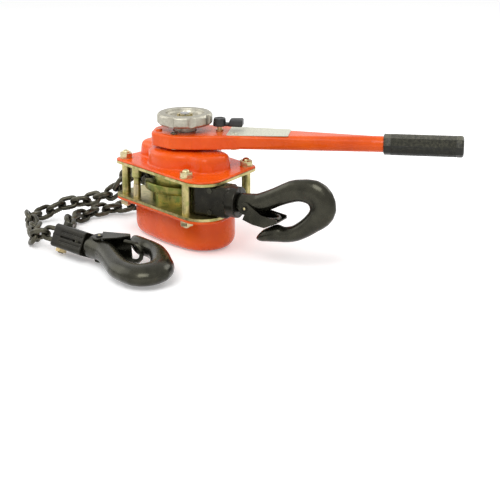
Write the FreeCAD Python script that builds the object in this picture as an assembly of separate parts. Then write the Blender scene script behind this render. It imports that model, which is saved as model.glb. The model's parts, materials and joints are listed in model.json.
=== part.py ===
import FreeCAD, Part
import math
import os

# Lever chain hoist of the 1.5 t class, lying on its gear cover.
# Origin: on the drive shaft's axis, in the face that it rests on.
# X runs towards the top hook, Z is up, and every size is in millimetres.

V = FreeCAD.Vector
UP = V(0, 0, 1)

# Clearances
running_fit = 0.08
bearing_fit = 0.05
side_gap = 0.3

# Frame: plates, stays and the two cover flanges
stay_inset = 17.2
stay_half_y = 54.9
corner_r = 14.0
chain_end_r = 60.0
chain_end_margin = 5.0
plate_t = 4.0
plate_gap = 47.0
gear_cover_depth = 59.5
gear_flange_t = 4.5
brake_flange_t = 3.0
stay_r = 6.5
thread_r = 5.0
nut_flats = 17.0
nut_h = 8.5
stud_proud = 2.0

# Load chain and sheave
wire_d = 7.1
pitch = 21.0
link_w = 24.0
pockets = 5
sheave_flange_r = 45.5
sheave_tooth_r = 36.0
sheave_bore_r = 10.6
journal_r = 20.0
bearing_r = 26.0
bearing_w = 8.0
pocket_clear = 0.7

# Drive shaft and gear train
shaft_r = 10.0
gear_centre = 44.0
fast_module = 2.0
fast_pinion_z = 10
fast_gear_z = 34
slow_module = 2.75
slow_pinion_z = 9
slow_gear_z = 23
backlash = 0.5
fast_gear_w = 9.0
slow_gear_w = 14.0
fast_gear_z0 = 14.0
slow_gear_z0 = 38.0
second_shaft_r = 6.5
bush_wall = 2.5

# Gear cover
gear_cover_half_x = 93.0
gear_cover_half_y = 50.0
gear_cover_end_r = 46.5
gear_cover_side_r = 350.0
gear_cover_y = -2.0
gear_cover_fillet = 17.0
gear_cover_wall = 3.0

# Brake cover
drum_r = 55.0
lobe_half_y = 30.0
lobe_front_x = 84.0
lobe_rear_x = 87.0
lobe_corner_r = 21.0
waist_r = 14.0
brake_dome_h = 27.5
brake_fillet = 7.0
brake_wall = 2.5
neck_r = 22.0
neck_bore_r = 17.0

# Brake
hub_flange_t = 4.0
friction_t = 2.0
friction_r = 30.0
ratchet_t = 5.0
ratchet_tip_r = 38.0
ratchet_root_r = 33.0
ratchet_teeth = 15
hub_r = 15.0
pawl_pin_x = 59.0
pawl_pin_y = 12.0
pawl_pin_r = 4.0

# Lever
lever_angle = 43.0
lever_gap = 4.0
lever_h = 20.0
lever_wall = 3.0
lever_cover_t = 3.0
head_half_w = 43.0
head_back = 48.0
head_corner_r = 16.0
arm_start = 85.0
arm_half_w = 31.0
arm_end = 289.0
rod_r = 11.8
grip_r = 15.5
lever_reach = 410.0
change_gear_r = 22.1
change_gear_root_r = 18.3
change_gear_teeth = 12
change_gear_w = 9.0
change_hub_r = 16.0
lever_screw_r = 3.0
lever_nut_flats = 9.7
selector_s = 52.0
selector_shaft_r = 3.5
knob_r = 10.0
knob_h = 12.0
knob_lift = 8.0

# Hand wheel
wheel_r = 40.9
wheel_gap = 14.0
wheel_rim_h = 13.0
wheel_recess_r = 27.5
wheel_recess_h = 8.0
wheel_lobes = 8
wheel_hub_r = 16.0
wheel_nut_flats = 20.0

# Hooks and their yokes
hook_pin_x = 86.5
hook_pin_r = 6.0
plate_end_r = 33.5
top_hook_angle = 24.0
yoke_half_h = 22.5
yoke_half_w = 16.0
yoke_shoulder = 49.0
yoke_front = 60.0
yoke_back = 15.5
yoke_wall = 11.0
shank_r = 11.0
shank_head_step = 4.0
shank_head_w = 9.0

# Heights and reach worked out from the sizes above
stay_half_x = gear_cover_half_x - stay_inset
chain_end_x = gear_cover_half_x + chain_end_margin
lower_z = gear_cover_depth
lower_top = lower_z + plate_t
upper_z = lower_top + plate_gap
upper_top = upper_z + plate_t
mid_z = (lower_top + upper_z) / 2
brake_floor = upper_top + brake_flange_t
brake_top = upper_top + brake_dome_h
lever_bottom = brake_top + lever_gap
lever_top = lever_bottom + lever_h
neck_top = lever_bottom + lever_cover_t
wheel_bottom = lever_top + wheel_gap
wheel_top = wheel_bottom + wheel_rim_h

# Sheave geometry from the chain's pitch and wire
pocket_side = pitch + wire_d
groove_side = pitch - wire_d
half_step = math.pi / (2 * pockets)
sheave_pitch_r = 0.5 * math.hypot(pitch / math.sin(half_step), wire_d / math.cos(half_step))
pocket_link_r = math.sqrt(sheave_pitch_r ** 2 - (pocket_side / 2) ** 2)
groove_link_r = math.sqrt(sheave_pitch_r ** 2 - (groove_side / 2) ** 2)
hook_pin_y = -groove_link_r


# Basic solids

def cylinder(radius, z0, z1, x=0.0, y=0.0):
    return Part.makeCylinder(radius, z1 - z0, V(x, y, z0))


def ring(outer, inner, z0, z1, x=0.0, y=0.0):
    return cylinder(outer, z0, z1, x, y).cut(cylinder(inner, z0 - 1, z1 + 1, x, y))


def turned(profile, x=0.0, y=0.0):
    # solid of revolution about a vertical axis from (radius, height) corners
    points = [V(r, 0, z) for r, z in profile]
    wire = Part.makePolygon(points + points[:1])
    solid = Part.Face(wire).revolve(V(0, 0, 0), UP, 360)
    solid.translate(V(x, y, 0))
    return solid


def prism(wire, z0, z1):
    face = Part.Face(wire)
    solid = face.extrude(V(0, 0, z1 - z0))
    solid.translate(V(0, 0, z0))
    return solid


def polygon(points):
    corners = [V(x, y, 0) for x, y in points]
    return Part.makePolygon(corners + corners[:1])


def polar(radius, angle):
    return (radius * math.cos(angle), radius * math.sin(angle))


def hull_of_circles(circles):
    # outline round circles (x, y, r) given anticlockwise: tangent lines and arcs
    count = len(circles)
    normals = []
    for i in range(count):
        x0, y0, r0 = circles[i]
        x1, y1, r1 = circles[(i + 1) % count]
        span = math.hypot(x1 - x0, y1 - y0)
        normals.append(math.atan2(y1 - y0, x1 - x0) - math.acos((r0 - r1) / span))
    edges = []
    for i in range(count):
        x, y, r = circles[i]
        start = normals[i - 1]
        turn = (normals[i] - start) % (2 * math.pi)
        ends = [start, start + turn / 2, start + turn]
        points = [V(x + r * math.cos(a), y + r * math.sin(a), 0) for a in ends]
        if turn > 1e-6:
            edges.append(Part.Arc(*points).toShape())
        x1, y1, r1 = circles[(i + 1) % count]
        nx, ny = math.cos(normals[i]), math.sin(normals[i])
        edges.append(Part.makeLine(points[-1], V(x1 + r1 * nx, y1 + r1 * ny, 0)))
    return Part.Wire(edges)


def rounded_polygon(points, radii):
    # closed outline with each corner rounded by its own radius
    count = len(points)
    arcs = []
    for i in range(count):
        before, here, after = (V(*points[i - 1], 0), V(*points[i], 0), V(*points[(i + 1) % count], 0))
        to_before = (before - here).normalize()
        to_after = (after - here).normalize()
        half = to_before.getAngle(to_after) / 2
        reach = radii[i] / math.tan(half)
        bisector = (to_before + to_after).normalize()
        centre = here + bisector * (radii[i] / math.sin(half))
        arcs.append((here + to_before * reach, centre - bisector * radii[i], here + to_after * reach))
    edges = []
    for i in range(count):
        edges.append(Part.Arc(*arcs[i]).toShape())
        edges.append(Part.makeLine(arcs[i][2], arcs[(i + 1) % count][0]))
    return Part.Wire(edges)


def place(shape, origin, along, up):
    # local X goes to along, local Y to up, local Z to their cross product
    across = along.cross(up)
    turned_shape = shape.copy()
    matrix = FreeCAD.Matrix(along.x, up.x, across.x, origin.x,
                            along.y, up.y, across.y, origin.y,
                            along.z, up.z, across.z, origin.z, 0, 0, 0, 1)
    turned_shape.Placement = FreeCAD.Placement(matrix).multiply(turned_shape.Placement)
    return turned_shape


def rotated(shape, angle, x=0.0, y=0.0):
    copy = shape.copy()
    copy.rotate(V(x, y, 0), UP, angle)
    return copy


def fillet_where(solid, radius, test):
    edges = [e for e in solid.Edges if test(e)]
    return solid.makeFillet(radius, edges)


def at_height(z):
    return lambda e: abs(e.BoundBox.ZMin - z) < 1e-4 and abs(e.BoundBox.ZMax - z) < 1e-4


# Frame

stays_xy = [(sx * stay_half_x, sy * stay_half_y) for sx in (-1, 1) for sy in (-1, 1)]


def plate_outline():
    return hull_of_circles([
        (-stay_half_x, -stay_half_y, corner_r),
        (hook_pin_x, hook_pin_y, plate_end_r),
        (stay_half_x, stay_half_y, corner_r),
        (-stay_half_x, stay_half_y, corner_r),
        (chain_end_r - chain_end_x, 0, chain_end_r),
    ])


guide_roller_xy = [(-45.0, sy * 57.0) for sy in (-1, 1)]
guide_pin_r = 3.0


def side_plate(z0):
    plate = prism(plate_outline(), z0, z0 + plate_t)
    for x, y in stays_xy:
        plate = plate.cut(cylinder(thread_r + 0.1, z0 - 1, z0 + plate_t + 1, x, y))
    plate = plate.cut(cylinder(bearing_r, z0 - 1, z0 + plate_t + 1))
    plate = plate.cut(cylinder(hook_pin_r, z0 - 1, z0 + plate_t + 1, hook_pin_x, hook_pin_y))
    for x, y in guide_roller_xy:
        plate = plate.cut(cylinder(guide_pin_r, z0 - 1, z0 + plate_t + 1, x, y))
    return plate


def gear_side_plate():
    plate = side_plate(lower_z)
    for side in (-1, 1):
        bush_r = second_shaft_r + bush_wall
        plate = plate.cut(cylinder(bush_r, lower_z - 1, lower_top + 1, side * gear_centre))
    return plate


def brake_side_plate():
    plate = side_plate(upper_z)
    for x, y in pawl_pins_xy:
        plate = plate.cut(cylinder(pawl_pin_r, upper_z - 1, upper_top + 1, x, y))
    return plate


def stays():
    low_end = lower_z - gear_flange_t - nut_h - stud_proud
    high_end = brake_floor + nut_h + stud_proud
    shapes = []
    for x, y in stays_xy:
        barrel = cylinder(stay_r, lower_top, upper_z, x, y)
        stud = cylinder(thread_r, low_end, high_end, x, y)
        shapes.append(barrel.fuse(stud).removeSplitter())
    return shapes


def hexagon(flats, turn=0.0):
    return polygon([polar(flats / math.sqrt(3), math.radians(60 * k + turn)) for k in range(6)])


def stay_nut(x, y, z):
    nut = prism(hexagon(nut_flats, 15), z, z + nut_h)
    nut.translate(V(x, y, 0))
    return nut.cut(cylinder(thread_r, z - 1, z + nut_h + 1, x, y))


def stay_nuts():
    nuts = [stay_nut(x, y, brake_floor) for x, y in stays_xy]
    nuts += [stay_nut(x, y, lower_z - gear_flange_t - nut_h) for x, y in stays_xy]
    return nuts


def oval(inset):
    # four tangent arcs: two round ends and two nearly straight sides
    half_y = gear_cover_half_y - inset
    end_r = gear_cover_end_r - inset
    side_r = gear_cover_side_r - inset
    drop = side_r - half_y
    end_x = math.sqrt((side_r - end_r) ** 2 - drop ** 2)
    stretch = gear_cover_half_x - inset - end_r - end_x
    edges = []
    angle = math.atan2(drop, end_x)
    for sx in (1, -1):
        base = 0 if sx > 0 else math.pi
        cx = sx * (end_x + stretch)
        ends = [base - angle, base, base + angle]
        arc = [V(cx + end_r * math.cos(a), gear_cover_y + end_r * math.sin(a), 0) for a in ends]
        edges.append(Part.Arc(*arc).toShape())
    low = V(0, gear_cover_y - half_y, 0)
    high = V(0, gear_cover_y + half_y, 0)
    right_low, right_high = edges[0].Vertexes[0].Point, edges[0].Vertexes[-1].Point
    left_high, left_low = edges[1].Vertexes[0].Point, edges[1].Vertexes[-1].Point
    return Part.Wire([edges[0], Part.Arc(right_high, high, left_high).toShape(),
                      edges[1], Part.Arc(left_low, low, right_low).toShape()])


def gear_cover():
    outer = prism(oval(0), 0, lower_z)
    outer = fillet_where(outer, gear_cover_fillet, at_height(0))
    inner = prism(oval(gear_cover_wall), gear_cover_wall, lower_z + 1)
    slope = gear_cover_fillet - gear_cover_wall
    inner = inner.makeChamfer(0.6 * slope, [e for e in inner.Edges if at_height(gear_cover_wall)(e)])
    flange = prism(plate_outline(), lower_z - gear_flange_t, lower_z)
    shell = outer.fuse(flange).cut(inner)
    for side in (-1, 1):
        x = side * gear_centre
        bush_r = second_shaft_r + bush_wall
        shell = shell.fuse(cylinder(bush_r + 3, gear_cover_wall - 1, fast_gear_z0 - 2, x))
        shell = shell.cut(cylinder(bush_r, gear_cover_wall + 1, fast_gear_z0, x))
    for x, y in stays_xy:
        shell = shell.cut(cylinder(thread_r + 0.2, lower_z - gear_flange_t - 1, lower_z + 1, x, y))
    return shell


def lobed_outline(inset):
    # round drum with a squared lobe towards each end, joined by hollow waists
    r = drum_r - inset
    half = lobe_half_y - inset
    corner = lobe_corner_r - inset
    waist = waist_r + inset
    waist_y = half + waist
    waist_x = math.sqrt((r + waist) ** 2 - waist_y ** 2)
    touch = r / (r + waist)
    edges = []

    def quarter(sx, sy, end_x):
        # from the drum's flank to the middle of a lobe's end
        drum_point = V(sx * waist_x * touch, sy * waist_y * touch, 0)
        line_point = V(sx * waist_x, sy * half, 0)
        middle = V(sx * waist_x, sy * waist_y, 0)
        to_mid = ((drum_point - middle).normalize() + (line_point - middle).normalize()).normalize()
        corner_x = end_x - corner
        diagonal = corner / math.sqrt(2)
        corner_mid = V(sx * (corner_x + diagonal), sy * (half - corner + diagonal), 0)
        side_end = V(sx * corner_x, sy * half, 0)
        end_top = V(sx * end_x, sy * (half - corner), 0)
        edges.append(Part.Arc(drum_point, middle + to_mid * waist, line_point).toShape())
        edges.append(Part.makeLine(line_point, side_end))
        edges.append(Part.Arc(side_end, corner_mid, end_top).toShape())
        return drum_point, end_top

    front, rear = lobe_front_x - inset, lobe_rear_x - inset
    drum_points = {}
    for sx, end_x in ((1, front), (-1, rear)):
        tops = []
        for sy in (1, -1):
            drum_points[(sx, sy)], top = quarter(sx, sy, end_x)
            tops.append(top)
        edges.append(Part.makeLine(*tops))
    for sy in (1, -1):
        edges.append(Part.Arc(drum_points[(1, sy)], V(0, sy * r, 0), drum_points[(-1, sy)]).toShape())
    return Part.Wire(Part.__sortEdges__(edges))


def brake_cover():
    flange = prism(plate_outline(), upper_top, brake_floor)
    dome = prism(lobed_outline(0), upper_top, brake_top)
    dome = fillet_where(dome, brake_fillet, at_height(brake_top))
    cover = flange.fuse(dome)
    cover = cover.fuse(cylinder(neck_r, brake_top - brake_wall, neck_top))
    hollow = prism(lobed_outline(brake_wall), upper_top - 1, brake_top - brake_wall)
    slope = 0.6 * (brake_fillet - brake_wall)
    hollow = hollow.makeChamfer(slope, [e for e in hollow.Edges if at_height(brake_top - brake_wall)(e)])
    cover = cover.cut(hollow).cut(cylinder(neck_bore_r, brake_top - 5, neck_top + 1))
    for x, y in stays_xy:
        cover = cover.cut(cylinder(thread_r + 0.2, upper_top - 1, brake_floor + 1, x, y))
    return cover


# Chain guide, rollers, stripper and the top pin

guide_gap = 1.5
guide_wall_t = 2.5
guide_wall_r = sheave_flange_r + guide_gap + guide_wall_t
guide_bulge_r = 61.0
guide_bulge_half = 7.0
guide_mouth = 58.0


def chain_guide():
    low = lower_top
    high = upper_z
    z0, z1 = mid_z - guide_bulge_half, mid_z + guide_bulge_half
    edge_r = 4.0
    outer = turned([(0, low), (guide_wall_r, low), (guide_wall_r, z0), (guide_bulge_r, z0),
                    (guide_bulge_r, z1), (guide_wall_r, z1), (guide_wall_r, high), (0, high)])
    rim = guide_bulge_r - 1e-3
    outer = fillet_where(outer, edge_r, lambda e: e.BoundBox.XMax > rim and e.BoundBox.ZLength < 1e-3)
    t = guide_wall_t
    inner = turned([(0, low - 1), (guide_wall_r - t, low - 1), (guide_wall_r - t, z0 + t),
                    (guide_bulge_r - t, z0 + t), (guide_bulge_r - t, z1 - t), (guide_wall_r - t, z1 - t),
                    (guide_wall_r - t, high + 1), (0, high + 1)])
    reach = 2 * guide_bulge_r
    mouth = polygon([(0, 0), polar(reach, math.radians(180 - guide_mouth)), (-reach, reach),
                     (-reach, -reach), polar(reach, math.radians(180 + guide_mouth))])
    return outer.cut(inner).cut(prism(mouth, low - 1, high + 1))


roller_r = 7.5
roller_drop = 3.0
roller_low = mid_z - roller_drop


def guide_roller(side):
    x, y = guide_roller_xy[side > 0]
    bore = guide_pin_r + running_fit
    top = upper_z - side_gap
    neck = roller_r - 2.5
    return turned([(bore, roller_low), (neck, roller_low), (neck, roller_low + 9), (roller_r, roller_low + 11),
                   (roller_r, top), (bore, top)], x, y)


def roller_pins():
    pins = []
    for x, y in guide_roller_xy:
        pin = cylinder(guide_pin_r, lower_z, upper_top, x, y)
        foot = ring(guide_pin_r + 2.5, guide_pin_r - 1, lower_top, roller_low - side_gap, x, y)
        pins.append(pin.fuse(foot).removeSplitter())
    return pins


stripper_half_w = 9.0
stripper_inset = 18.0
stripper_post = 16.0
stripper_taper = 9.2
stripper_gap = 1.3
stripper_half_t = 3.2


def chain_stripper():
    # fork that keeps the links from riding on round the sheave
    w = stripper_half_w
    back = stripper_inset - chain_end_x
    front = back + stripper_post
    tip = -(sheave_flange_r + stripper_gap)
    neck = tip - stripper_taper
    blade = polygon([(back, -w), (neck, -w), (tip, -w / 2), (tip, w / 2), (neck, w), (back, w)])
    web = prism(blade, mid_z - stripper_half_t, mid_z + stripper_half_t)
    post = prism(rounded_polygon([(back, -w), (front, -w), (front, w), (back, w)], [3] * 4), lower_top, upper_z)
    return web.fuse(post).removeSplitter()


def top_pin():
    return cylinder(hook_pin_r, lower_z, upper_top, hook_pin_x, hook_pin_y)


# Load sheave with pockets for the chain

def load_sheave():
    half_h = plate_gap / 2 - side_gap
    low, high = mid_z - half_h, mid_z + half_h
    slope = 6.0
    f = sheave_flange_r
    end_low = lower_z - bearing_w + plate_t / 2
    spline_r = journal_r - 4
    body = turned([(0, low), (f - slope, low), (f, low + slope), (f, high - slope), (f - slope, high),
                   (0, high)])
    groove_w = wire_d / 2 + pocket_clear
    groove_floor = groove_link_r - link_w / 2 - pocket_clear
    body = body.cut(ring(f + 1, groove_floor, mid_z - groove_w, mid_z + groove_w))
    seat_r = pocket_link_r - wire_d / 2 - pocket_clear
    pocket_half = pitch / 2 + wire_d + pocket_clear
    pocket_h = link_w / 2 + pocket_clear
    tooth_band = ring(f + 1, sheave_tooth_r, mid_z - pocket_h, mid_z + pocket_h)
    body = body.cut(tooth_band)
    for k in range(pockets):
        corners = [(-pocket_half, -pocket_h), (pocket_half, -pocket_h), (pocket_half, pocket_h),
                   (-pocket_half, pocket_h)]
        wire = rounded_polygon(corners, [link_w / 2 - 0.5] * 4)
        cutter = Part.Face(wire).extrude(V(0, 0, f))
        angle = math.radians(360 / pockets * k + 90 - 360 / pockets)
        outward = V(math.cos(angle), math.sin(angle), 0)
        tangent = V(-math.sin(angle), math.cos(angle), 0)
        body = body.cut(place(cutter, outward * seat_r + UP * mid_z, tangent, UP))
    body = body.fuse(cylinder(journal_r, end_low, upper_top + side_gap + bearing_w / 2))
    body = body.fuse(cylinder(spline_r, slow_gear_z0 - 3, end_low))
    body = body.cut(cylinder(sheave_bore_r, slow_gear_z0 - 4, upper_top + bearing_w))
    body = body.cut(ring(spline_r + 1, spline_r - 1, slow_gear_z0 - 1.7, slow_gear_z0 - 0.3))
    return body.removeSplitter()


def sheave_bearings():
    lower = ring(bearing_r, journal_r + bearing_fit, lower_z - bearing_w + plate_t, lower_top - side_gap)
    upper = ring(bearing_r, journal_r + bearing_fit, upper_z + side_gap, upper_top + bearing_w - plate_t)
    return [lower, upper]


# Gear train

def tooth_outline(module, teeth, tip_half, root_half, addendum=1.0, dedendum=1.25):
    pitch_r = module * teeth / 2
    tip = pitch_r + addendum * module
    root = pitch_r - dedendum * module
    points = []
    for k in range(teeth):
        middle = 2 * math.pi * k / teeth
        for radius, angle in ((root, -root_half), (tip, -tip_half), (tip, tip_half), (root, root_half)):
            points.append(polar(radius, middle + angle))
    return polygon(points)


def spur(module, teeth, z0, z1):
    # straight-flanked teeth, thinned by the backlash
    pitch_r = module * teeth / 2
    quarter = math.pi / (2 * teeth)
    thin = backlash / 2 / pitch_r
    slope = math.tan(math.radians(20)) * module
    tip_half = quarter - thin - slope * 1.1 / (pitch_r + module)
    root_half = quarter - thin + slope * 0.9 / (pitch_r - 1.25 * module)
    return prism(tooth_outline(module, teeth, tip_half, root_half, 0.9, 1.3), z0, z1)


fast_z1 = fast_gear_z0 + fast_gear_w
slow_z1 = slow_gear_z0 + slow_gear_w


def load_gear():
    disc = spur(slow_module, slow_gear_z, slow_gear_z0, slow_z1)
    disc = rotated(disc, 180 / slow_gear_z)
    return disc.cut(cylinder(journal_r - 4, slow_gear_z0 - 1, slow_z1 + 1))


def load_gear_ring():
    spline_r = journal_r - 4
    clip = ring(spline_r + 2, spline_r - 1, slow_gear_z0 - 1.6, slow_gear_z0 - 0.4)
    gap = Part.makeBox(spline_r + 4, 6, 4, V(0, -3, slow_gear_z0 - 3))
    return clip.cut(gap)


def second_gear(side):
    # wheel and pinion in one piece, with a tooth of the pinion towards the far side of the shaft
    wheel = spur(fast_module, fast_gear_z, fast_gear_z0, fast_z1)
    start = 0 if side > 0 else 180
    wheel = rotated(wheel, start + 180 + 180 / fast_gear_z)
    pinion = spur(slow_module, slow_pinion_z, slow_gear_z0 - 1, slow_z1 + 1)
    pinion = rotated(pinion, 180)
    shaft = cylinder(second_shaft_r, gear_cover_wall + 1.5, lower_top - 0.5)
    collar = cylinder(second_shaft_r + 2, fast_gear_z0 - 1.5, slow_gear_z0 - 1)
    gear = wheel.fuse(pinion).fuse(shaft).fuse(collar).removeSplitter()
    gear.translate(V(side * gear_centre, 0, 0))
    return gear


def gear_bushes():
    bushes = []
    outer = second_shaft_r + bush_wall
    for side in (-1, 1):
        x = side * gear_centre
        bushes.append(ring(outer, second_shaft_r + bearing_fit, gear_cover_wall + 1, fast_gear_z0 - 2, x))
        bushes.append(ring(outer, second_shaft_r + bearing_fit, lower_z, lower_top, x))
    return bushes


# Drive shaft and load brake

hub_z = upper_top + bearing_w - plate_t + 2
friction_z = hub_z + hub_flange_t
ratchet_z = friction_z + friction_t
friction2_z = ratchet_z + ratchet_t
change_z = friction2_z + friction_t
teeth_z = lever_bottom + lever_cover_t + 2
teeth_top = teeth_z + change_gear_w


def drive_shaft():
    pinion = spur(fast_module, fast_pinion_z, fast_gear_z0 - 1, fast_z1 + 1)
    tail = cylinder(shaft_r - 4, gear_cover_wall + side_gap, fast_gear_z0 - 1)
    journal = cylinder(shaft_r, fast_z1 + 1, teeth_top)
    end = cylinder(shaft_r - 3, teeth_top, wheel_top - wheel_recess_h + 7)
    return pinion.fuse(tail).fuse(journal).fuse(end).removeSplitter()


def disc_hub():
    hub = turned([(shaft_r, hub_z), (friction_r, hub_z), (friction_r, friction_z), (hub_r, friction_z),
                  (hub_r, change_z - side_gap), (shaft_r, change_z - side_gap)])
    return hub


def friction_discs():
    inner = hub_r + running_fit
    face = 0.05
    lower = ring(friction_r, inner, friction_z + face, ratchet_z)
    upper = ring(friction_r, inner, friction2_z, change_z - face)
    return [lower, upper]


def ratchet_disc():
    points = []
    step = 2 * math.pi / ratchet_teeth
    for k in range(ratchet_teeth):
        base = k * step
        points.append(polar(ratchet_root_r, base))
        points.append(polar(ratchet_tip_r - 0.6, base + 0.6 * step))
        points.append(polar(ratchet_tip_r, base + 0.85 * step))
        points.append(polar(ratchet_root_r, base + 0.9 * step))
    disc = prism(polygon(points), ratchet_z + 0.05, friction2_z - 0.05)
    return disc.cut(cylinder(hub_r + running_fit, ratchet_z - 1, friction2_z + 1))


pawl_pins_xy = [(side * pawl_pin_x, side * pawl_pin_y) for side in (1, -1)]
pawl_reach = 27.0


def brake_pawl(side):
    # drawn for the +X side with its nose just clear of the ratchet's tips
    px, py = pawl_pin_x, pawl_pin_y
    nose_r = ratchet_tip_r + 0.5
    nose = polar(nose_r, math.radians(-22))
    back = polar(nose_r + 7.5, math.radians(-21))
    heel = pawl_pin_r + 4
    outline = polygon([nose, back, (px + heel * 0.6, py - heel * 0.8), (px - heel, py - 1)])
    body = prism(outline, ratchet_z + 0.2, friction2_z - 0.2)
    body = body.fuse(cylinder(heel, ratchet_z + 0.2, friction2_z - 0.2, px, py)).removeSplitter()
    body = body.cut(cylinder(pawl_pin_r + running_fit, ratchet_z - 1, friction2_z + 1, px, py))
    return body if side > 0 else rotated(body, 180)


def pawl_pins():
    pins = []
    for x, y in pawl_pins_xy:
        pin = cylinder(pawl_pin_r, upper_z, friction2_z + 2, x, y)
        seat = cylinder(pawl_pin_r + 2.5, upper_top, ratchet_z, x, y)
        pins.append(pin.fuse(seat).removeSplitter())
    return pins


def pawl_springs():
    springs = []
    for x, y in pawl_pins_xy:
        springs.append(ring(pawl_pin_r + 1.6, pawl_pin_r, friction2_z, friction2_z + 1.8, x, y))
    return springs


def change_gear():
    points = []
    step = 2 * math.pi / change_gear_teeth
    for k in range(change_gear_teeth):
        base = k * step
        for radius, share in ((change_gear_root_r, -0.3), (change_gear_r, -0.2), (change_gear_r, 0.2),
                              (change_gear_root_r, 0.3)):
            points.append(polar(radius, base + share * step))
    teeth = prism(polygon(points), teeth_z, teeth_top)
    hub = cylinder(change_hub_r, change_z, teeth_z)
    flange = cylinder(friction_r, change_z, change_z + 3)
    body = teeth.fuse(hub).fuse(flange)
    return body.cut(cylinder(shaft_r, change_z - 1, teeth_top + 1)).removeSplitter()


def hand_wheel():
    # shallow lobes round the rim, and a dished recess on top
    points = []
    for k in range(wheel_lobes):
        base = 360 / wheel_lobes * k
        points.append((wheel_r, base - 14))
        points.append((wheel_r, base + 14))
    edges = []
    count = len(points)
    for i in range(count):
        r0, a0 = points[i]
        r1, a1 = points[(i + 1) % count]
        start = V(*polar(r0, math.radians(a0)), 0)
        end = V(*polar(r1, math.radians(a1)), 0)
        middle_angle = math.radians(a0 + ((a1 - a0) % 360) / 2)
        middle_r = wheel_r if i % 2 == 0 else wheel_r - 3.2
        edges.append(Part.Arc(start, V(*polar(middle_r, middle_angle), 0), end).toShape())
    rim = prism(Part.Wire(edges), wheel_bottom, wheel_top)
    bevel = 3.0
    side = wheel_r + 0.1
    envelope = turned([(0, wheel_bottom), (wheel_r - bevel, wheel_bottom), (side, wheel_bottom + bevel),
                       (side, wheel_top - bevel), (wheel_r - bevel, wheel_top), (0, wheel_top)])
    rim = rim.common(envelope)
    floor_z = wheel_top - wheel_recess_h
    dish = turned([(0, floor_z), (wheel_recess_r - 4, floor_z), (wheel_recess_r, floor_z + 4),
                   (wheel_recess_r + 1.5, wheel_top + 1), (0, wheel_top + 1)])
    rim = rim.cut(dish).fuse(cylinder(wheel_hub_r, teeth_top, wheel_bottom + 1))
    return rim.cut(cylinder(shaft_r - 3, teeth_top - 1, wheel_top)).removeSplitter()


def wheel_nut():
    z0 = wheel_top - wheel_recess_h
    nut = prism(hexagon(wheel_nut_flats), z0, z0 + 6).cut(cylinder(shaft_r - 3, z0 - 1, z0 + 7))
    for k in range(3):
        slot = Part.makeBox(26, 2.4, 3, V(-13, -1.2, z0 + 3.4))
        nut = nut.cut(rotated(slot, 60 * k + 30))
    return nut


# Lever

def lever_frame(shape):
    return rotated(shape, lever_angle)


def head_outline(inset):
    points = [(-head_back, -20), (-14, -head_half_w), (18, -head_half_w), (arm_start, -arm_half_w),
              (arm_start, arm_half_w), (18, head_half_w), (-14, head_half_w), (-head_back, 20)]
    r = head_corner_r
    return rounded_polygon(points, [r, r, r, 1, 1, r, r, r]).makeOffset2D(-inset) if inset else \
        rounded_polygon(points, [r, r, r, 1, 1, r, r, r])


def arm_section(s, half_w, half_h, round_r, z):
    points = [(-half_w, -half_h), (half_w, -half_h), (half_w, half_h), (-half_w, half_h)]
    wire = rounded_polygon(points, [round_r] * 4)
    face = place(wire, V(s, 0, z), V(0, 1, 0), UP)
    return face


head_screw_inset = 14.0
back_screw_inset = 10.0
arm_screw_inset = 11.0
screw_spots = [
    (-11, head_screw_inset - head_half_w), (back_screw_inset - head_back, -7),
    (-11, head_half_w - head_screw_inset), (76, arm_screw_inset - arm_half_w),
]


arm_wall = 5.0


def behind_arm(shape):
    # the part of a shape that lies in the lever's head, up to the wall where the arm starts
    box = shape.BoundBox
    room = Part.makeBox(arm_start - arm_wall - box.XMin + 1, box.YLength + 2, box.ZLength + 2,
                        V(box.XMin - 1, box.YMin - 1, box.ZMin - 1))
    return shape.common(room)


def lever_body():
    centre = (lever_bottom + lever_top) / 2
    head = prism(head_outline(0), lever_bottom, lever_top)
    edge_round = 3.0
    on_top = at_height(lever_top)
    head = fillet_where(head, edge_round, lambda e: on_top(e) and e.BoundBox.XMin < arm_start - 1)
    sections = []
    for share in (0.0, 0.35, 0.7, 1.0):
        s = arm_start - 0.5 + share * (arm_end - 12 - arm_start)
        half_w = arm_half_w + (rod_r - arm_half_w) * share
        half_h = lever_h / 2 + (rod_r - lever_h / 2) * share
        round_r = 4.0 + (rod_r - 0.1 - 4.0) * share
        sections.append(arm_section(s, half_w, half_h, round_r, centre - 2 * share))
    arm = Part.makeLoft(sections, True, True)
    rod_start = arm_end - 12.6
    rod_end = lever_reach - 15
    rod = Part.makeCylinder(rod_r, rod_end - rod_start, V(rod_start, 0, centre - 2), V(1, 0, 0))
    body = head.fuse(arm).fuse(rod)
    cavity = prism(head_outline(lever_wall), lever_bottom - 1, lever_top - lever_wall)
    body = body.cut(behind_arm(cavity))
    body = body.cut(cylinder(wheel_hub_r + 1, lever_bottom - 1, lever_top + 1))
    body = body.cut(cylinder(selector_shaft_r + running_fit, lever_bottom, lever_top + 1, selector_s))
    for s, w in screw_spots:
        body = body.cut(cylinder(lever_screw_r, lever_bottom - 1, lever_top + 1, s, w))
    return lever_frame(body.removeSplitter())


def lever_cover():
    plate = behind_arm(prism(head_outline(lever_wall), lever_bottom, lever_bottom + lever_cover_t))
    plate = plate.cut(cylinder(neck_r + running_fit, lever_bottom - 1, lever_bottom + lever_cover_t + 1))
    for s, w in screw_spots:
        plate = plate.cut(cylinder(lever_screw_r, lever_bottom - 1, lever_top, s, w))
    return lever_frame(plate)


def lever_screws():
    shapes = []
    for s, w in screw_spots:
        shank = cylinder(lever_screw_r, lever_bottom - 2.6, lever_top + 0.5, s, w)
        head = cylinder(5.0, lever_top, lever_top + 2.4, s, w)
        head = head.makeChamfer(0.8, [e for e in head.Edges if at_height(lever_top + 2.4)(e)])
        shapes.append(lever_frame(head.fuse(shank).removeSplitter()))
    return shapes


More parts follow.
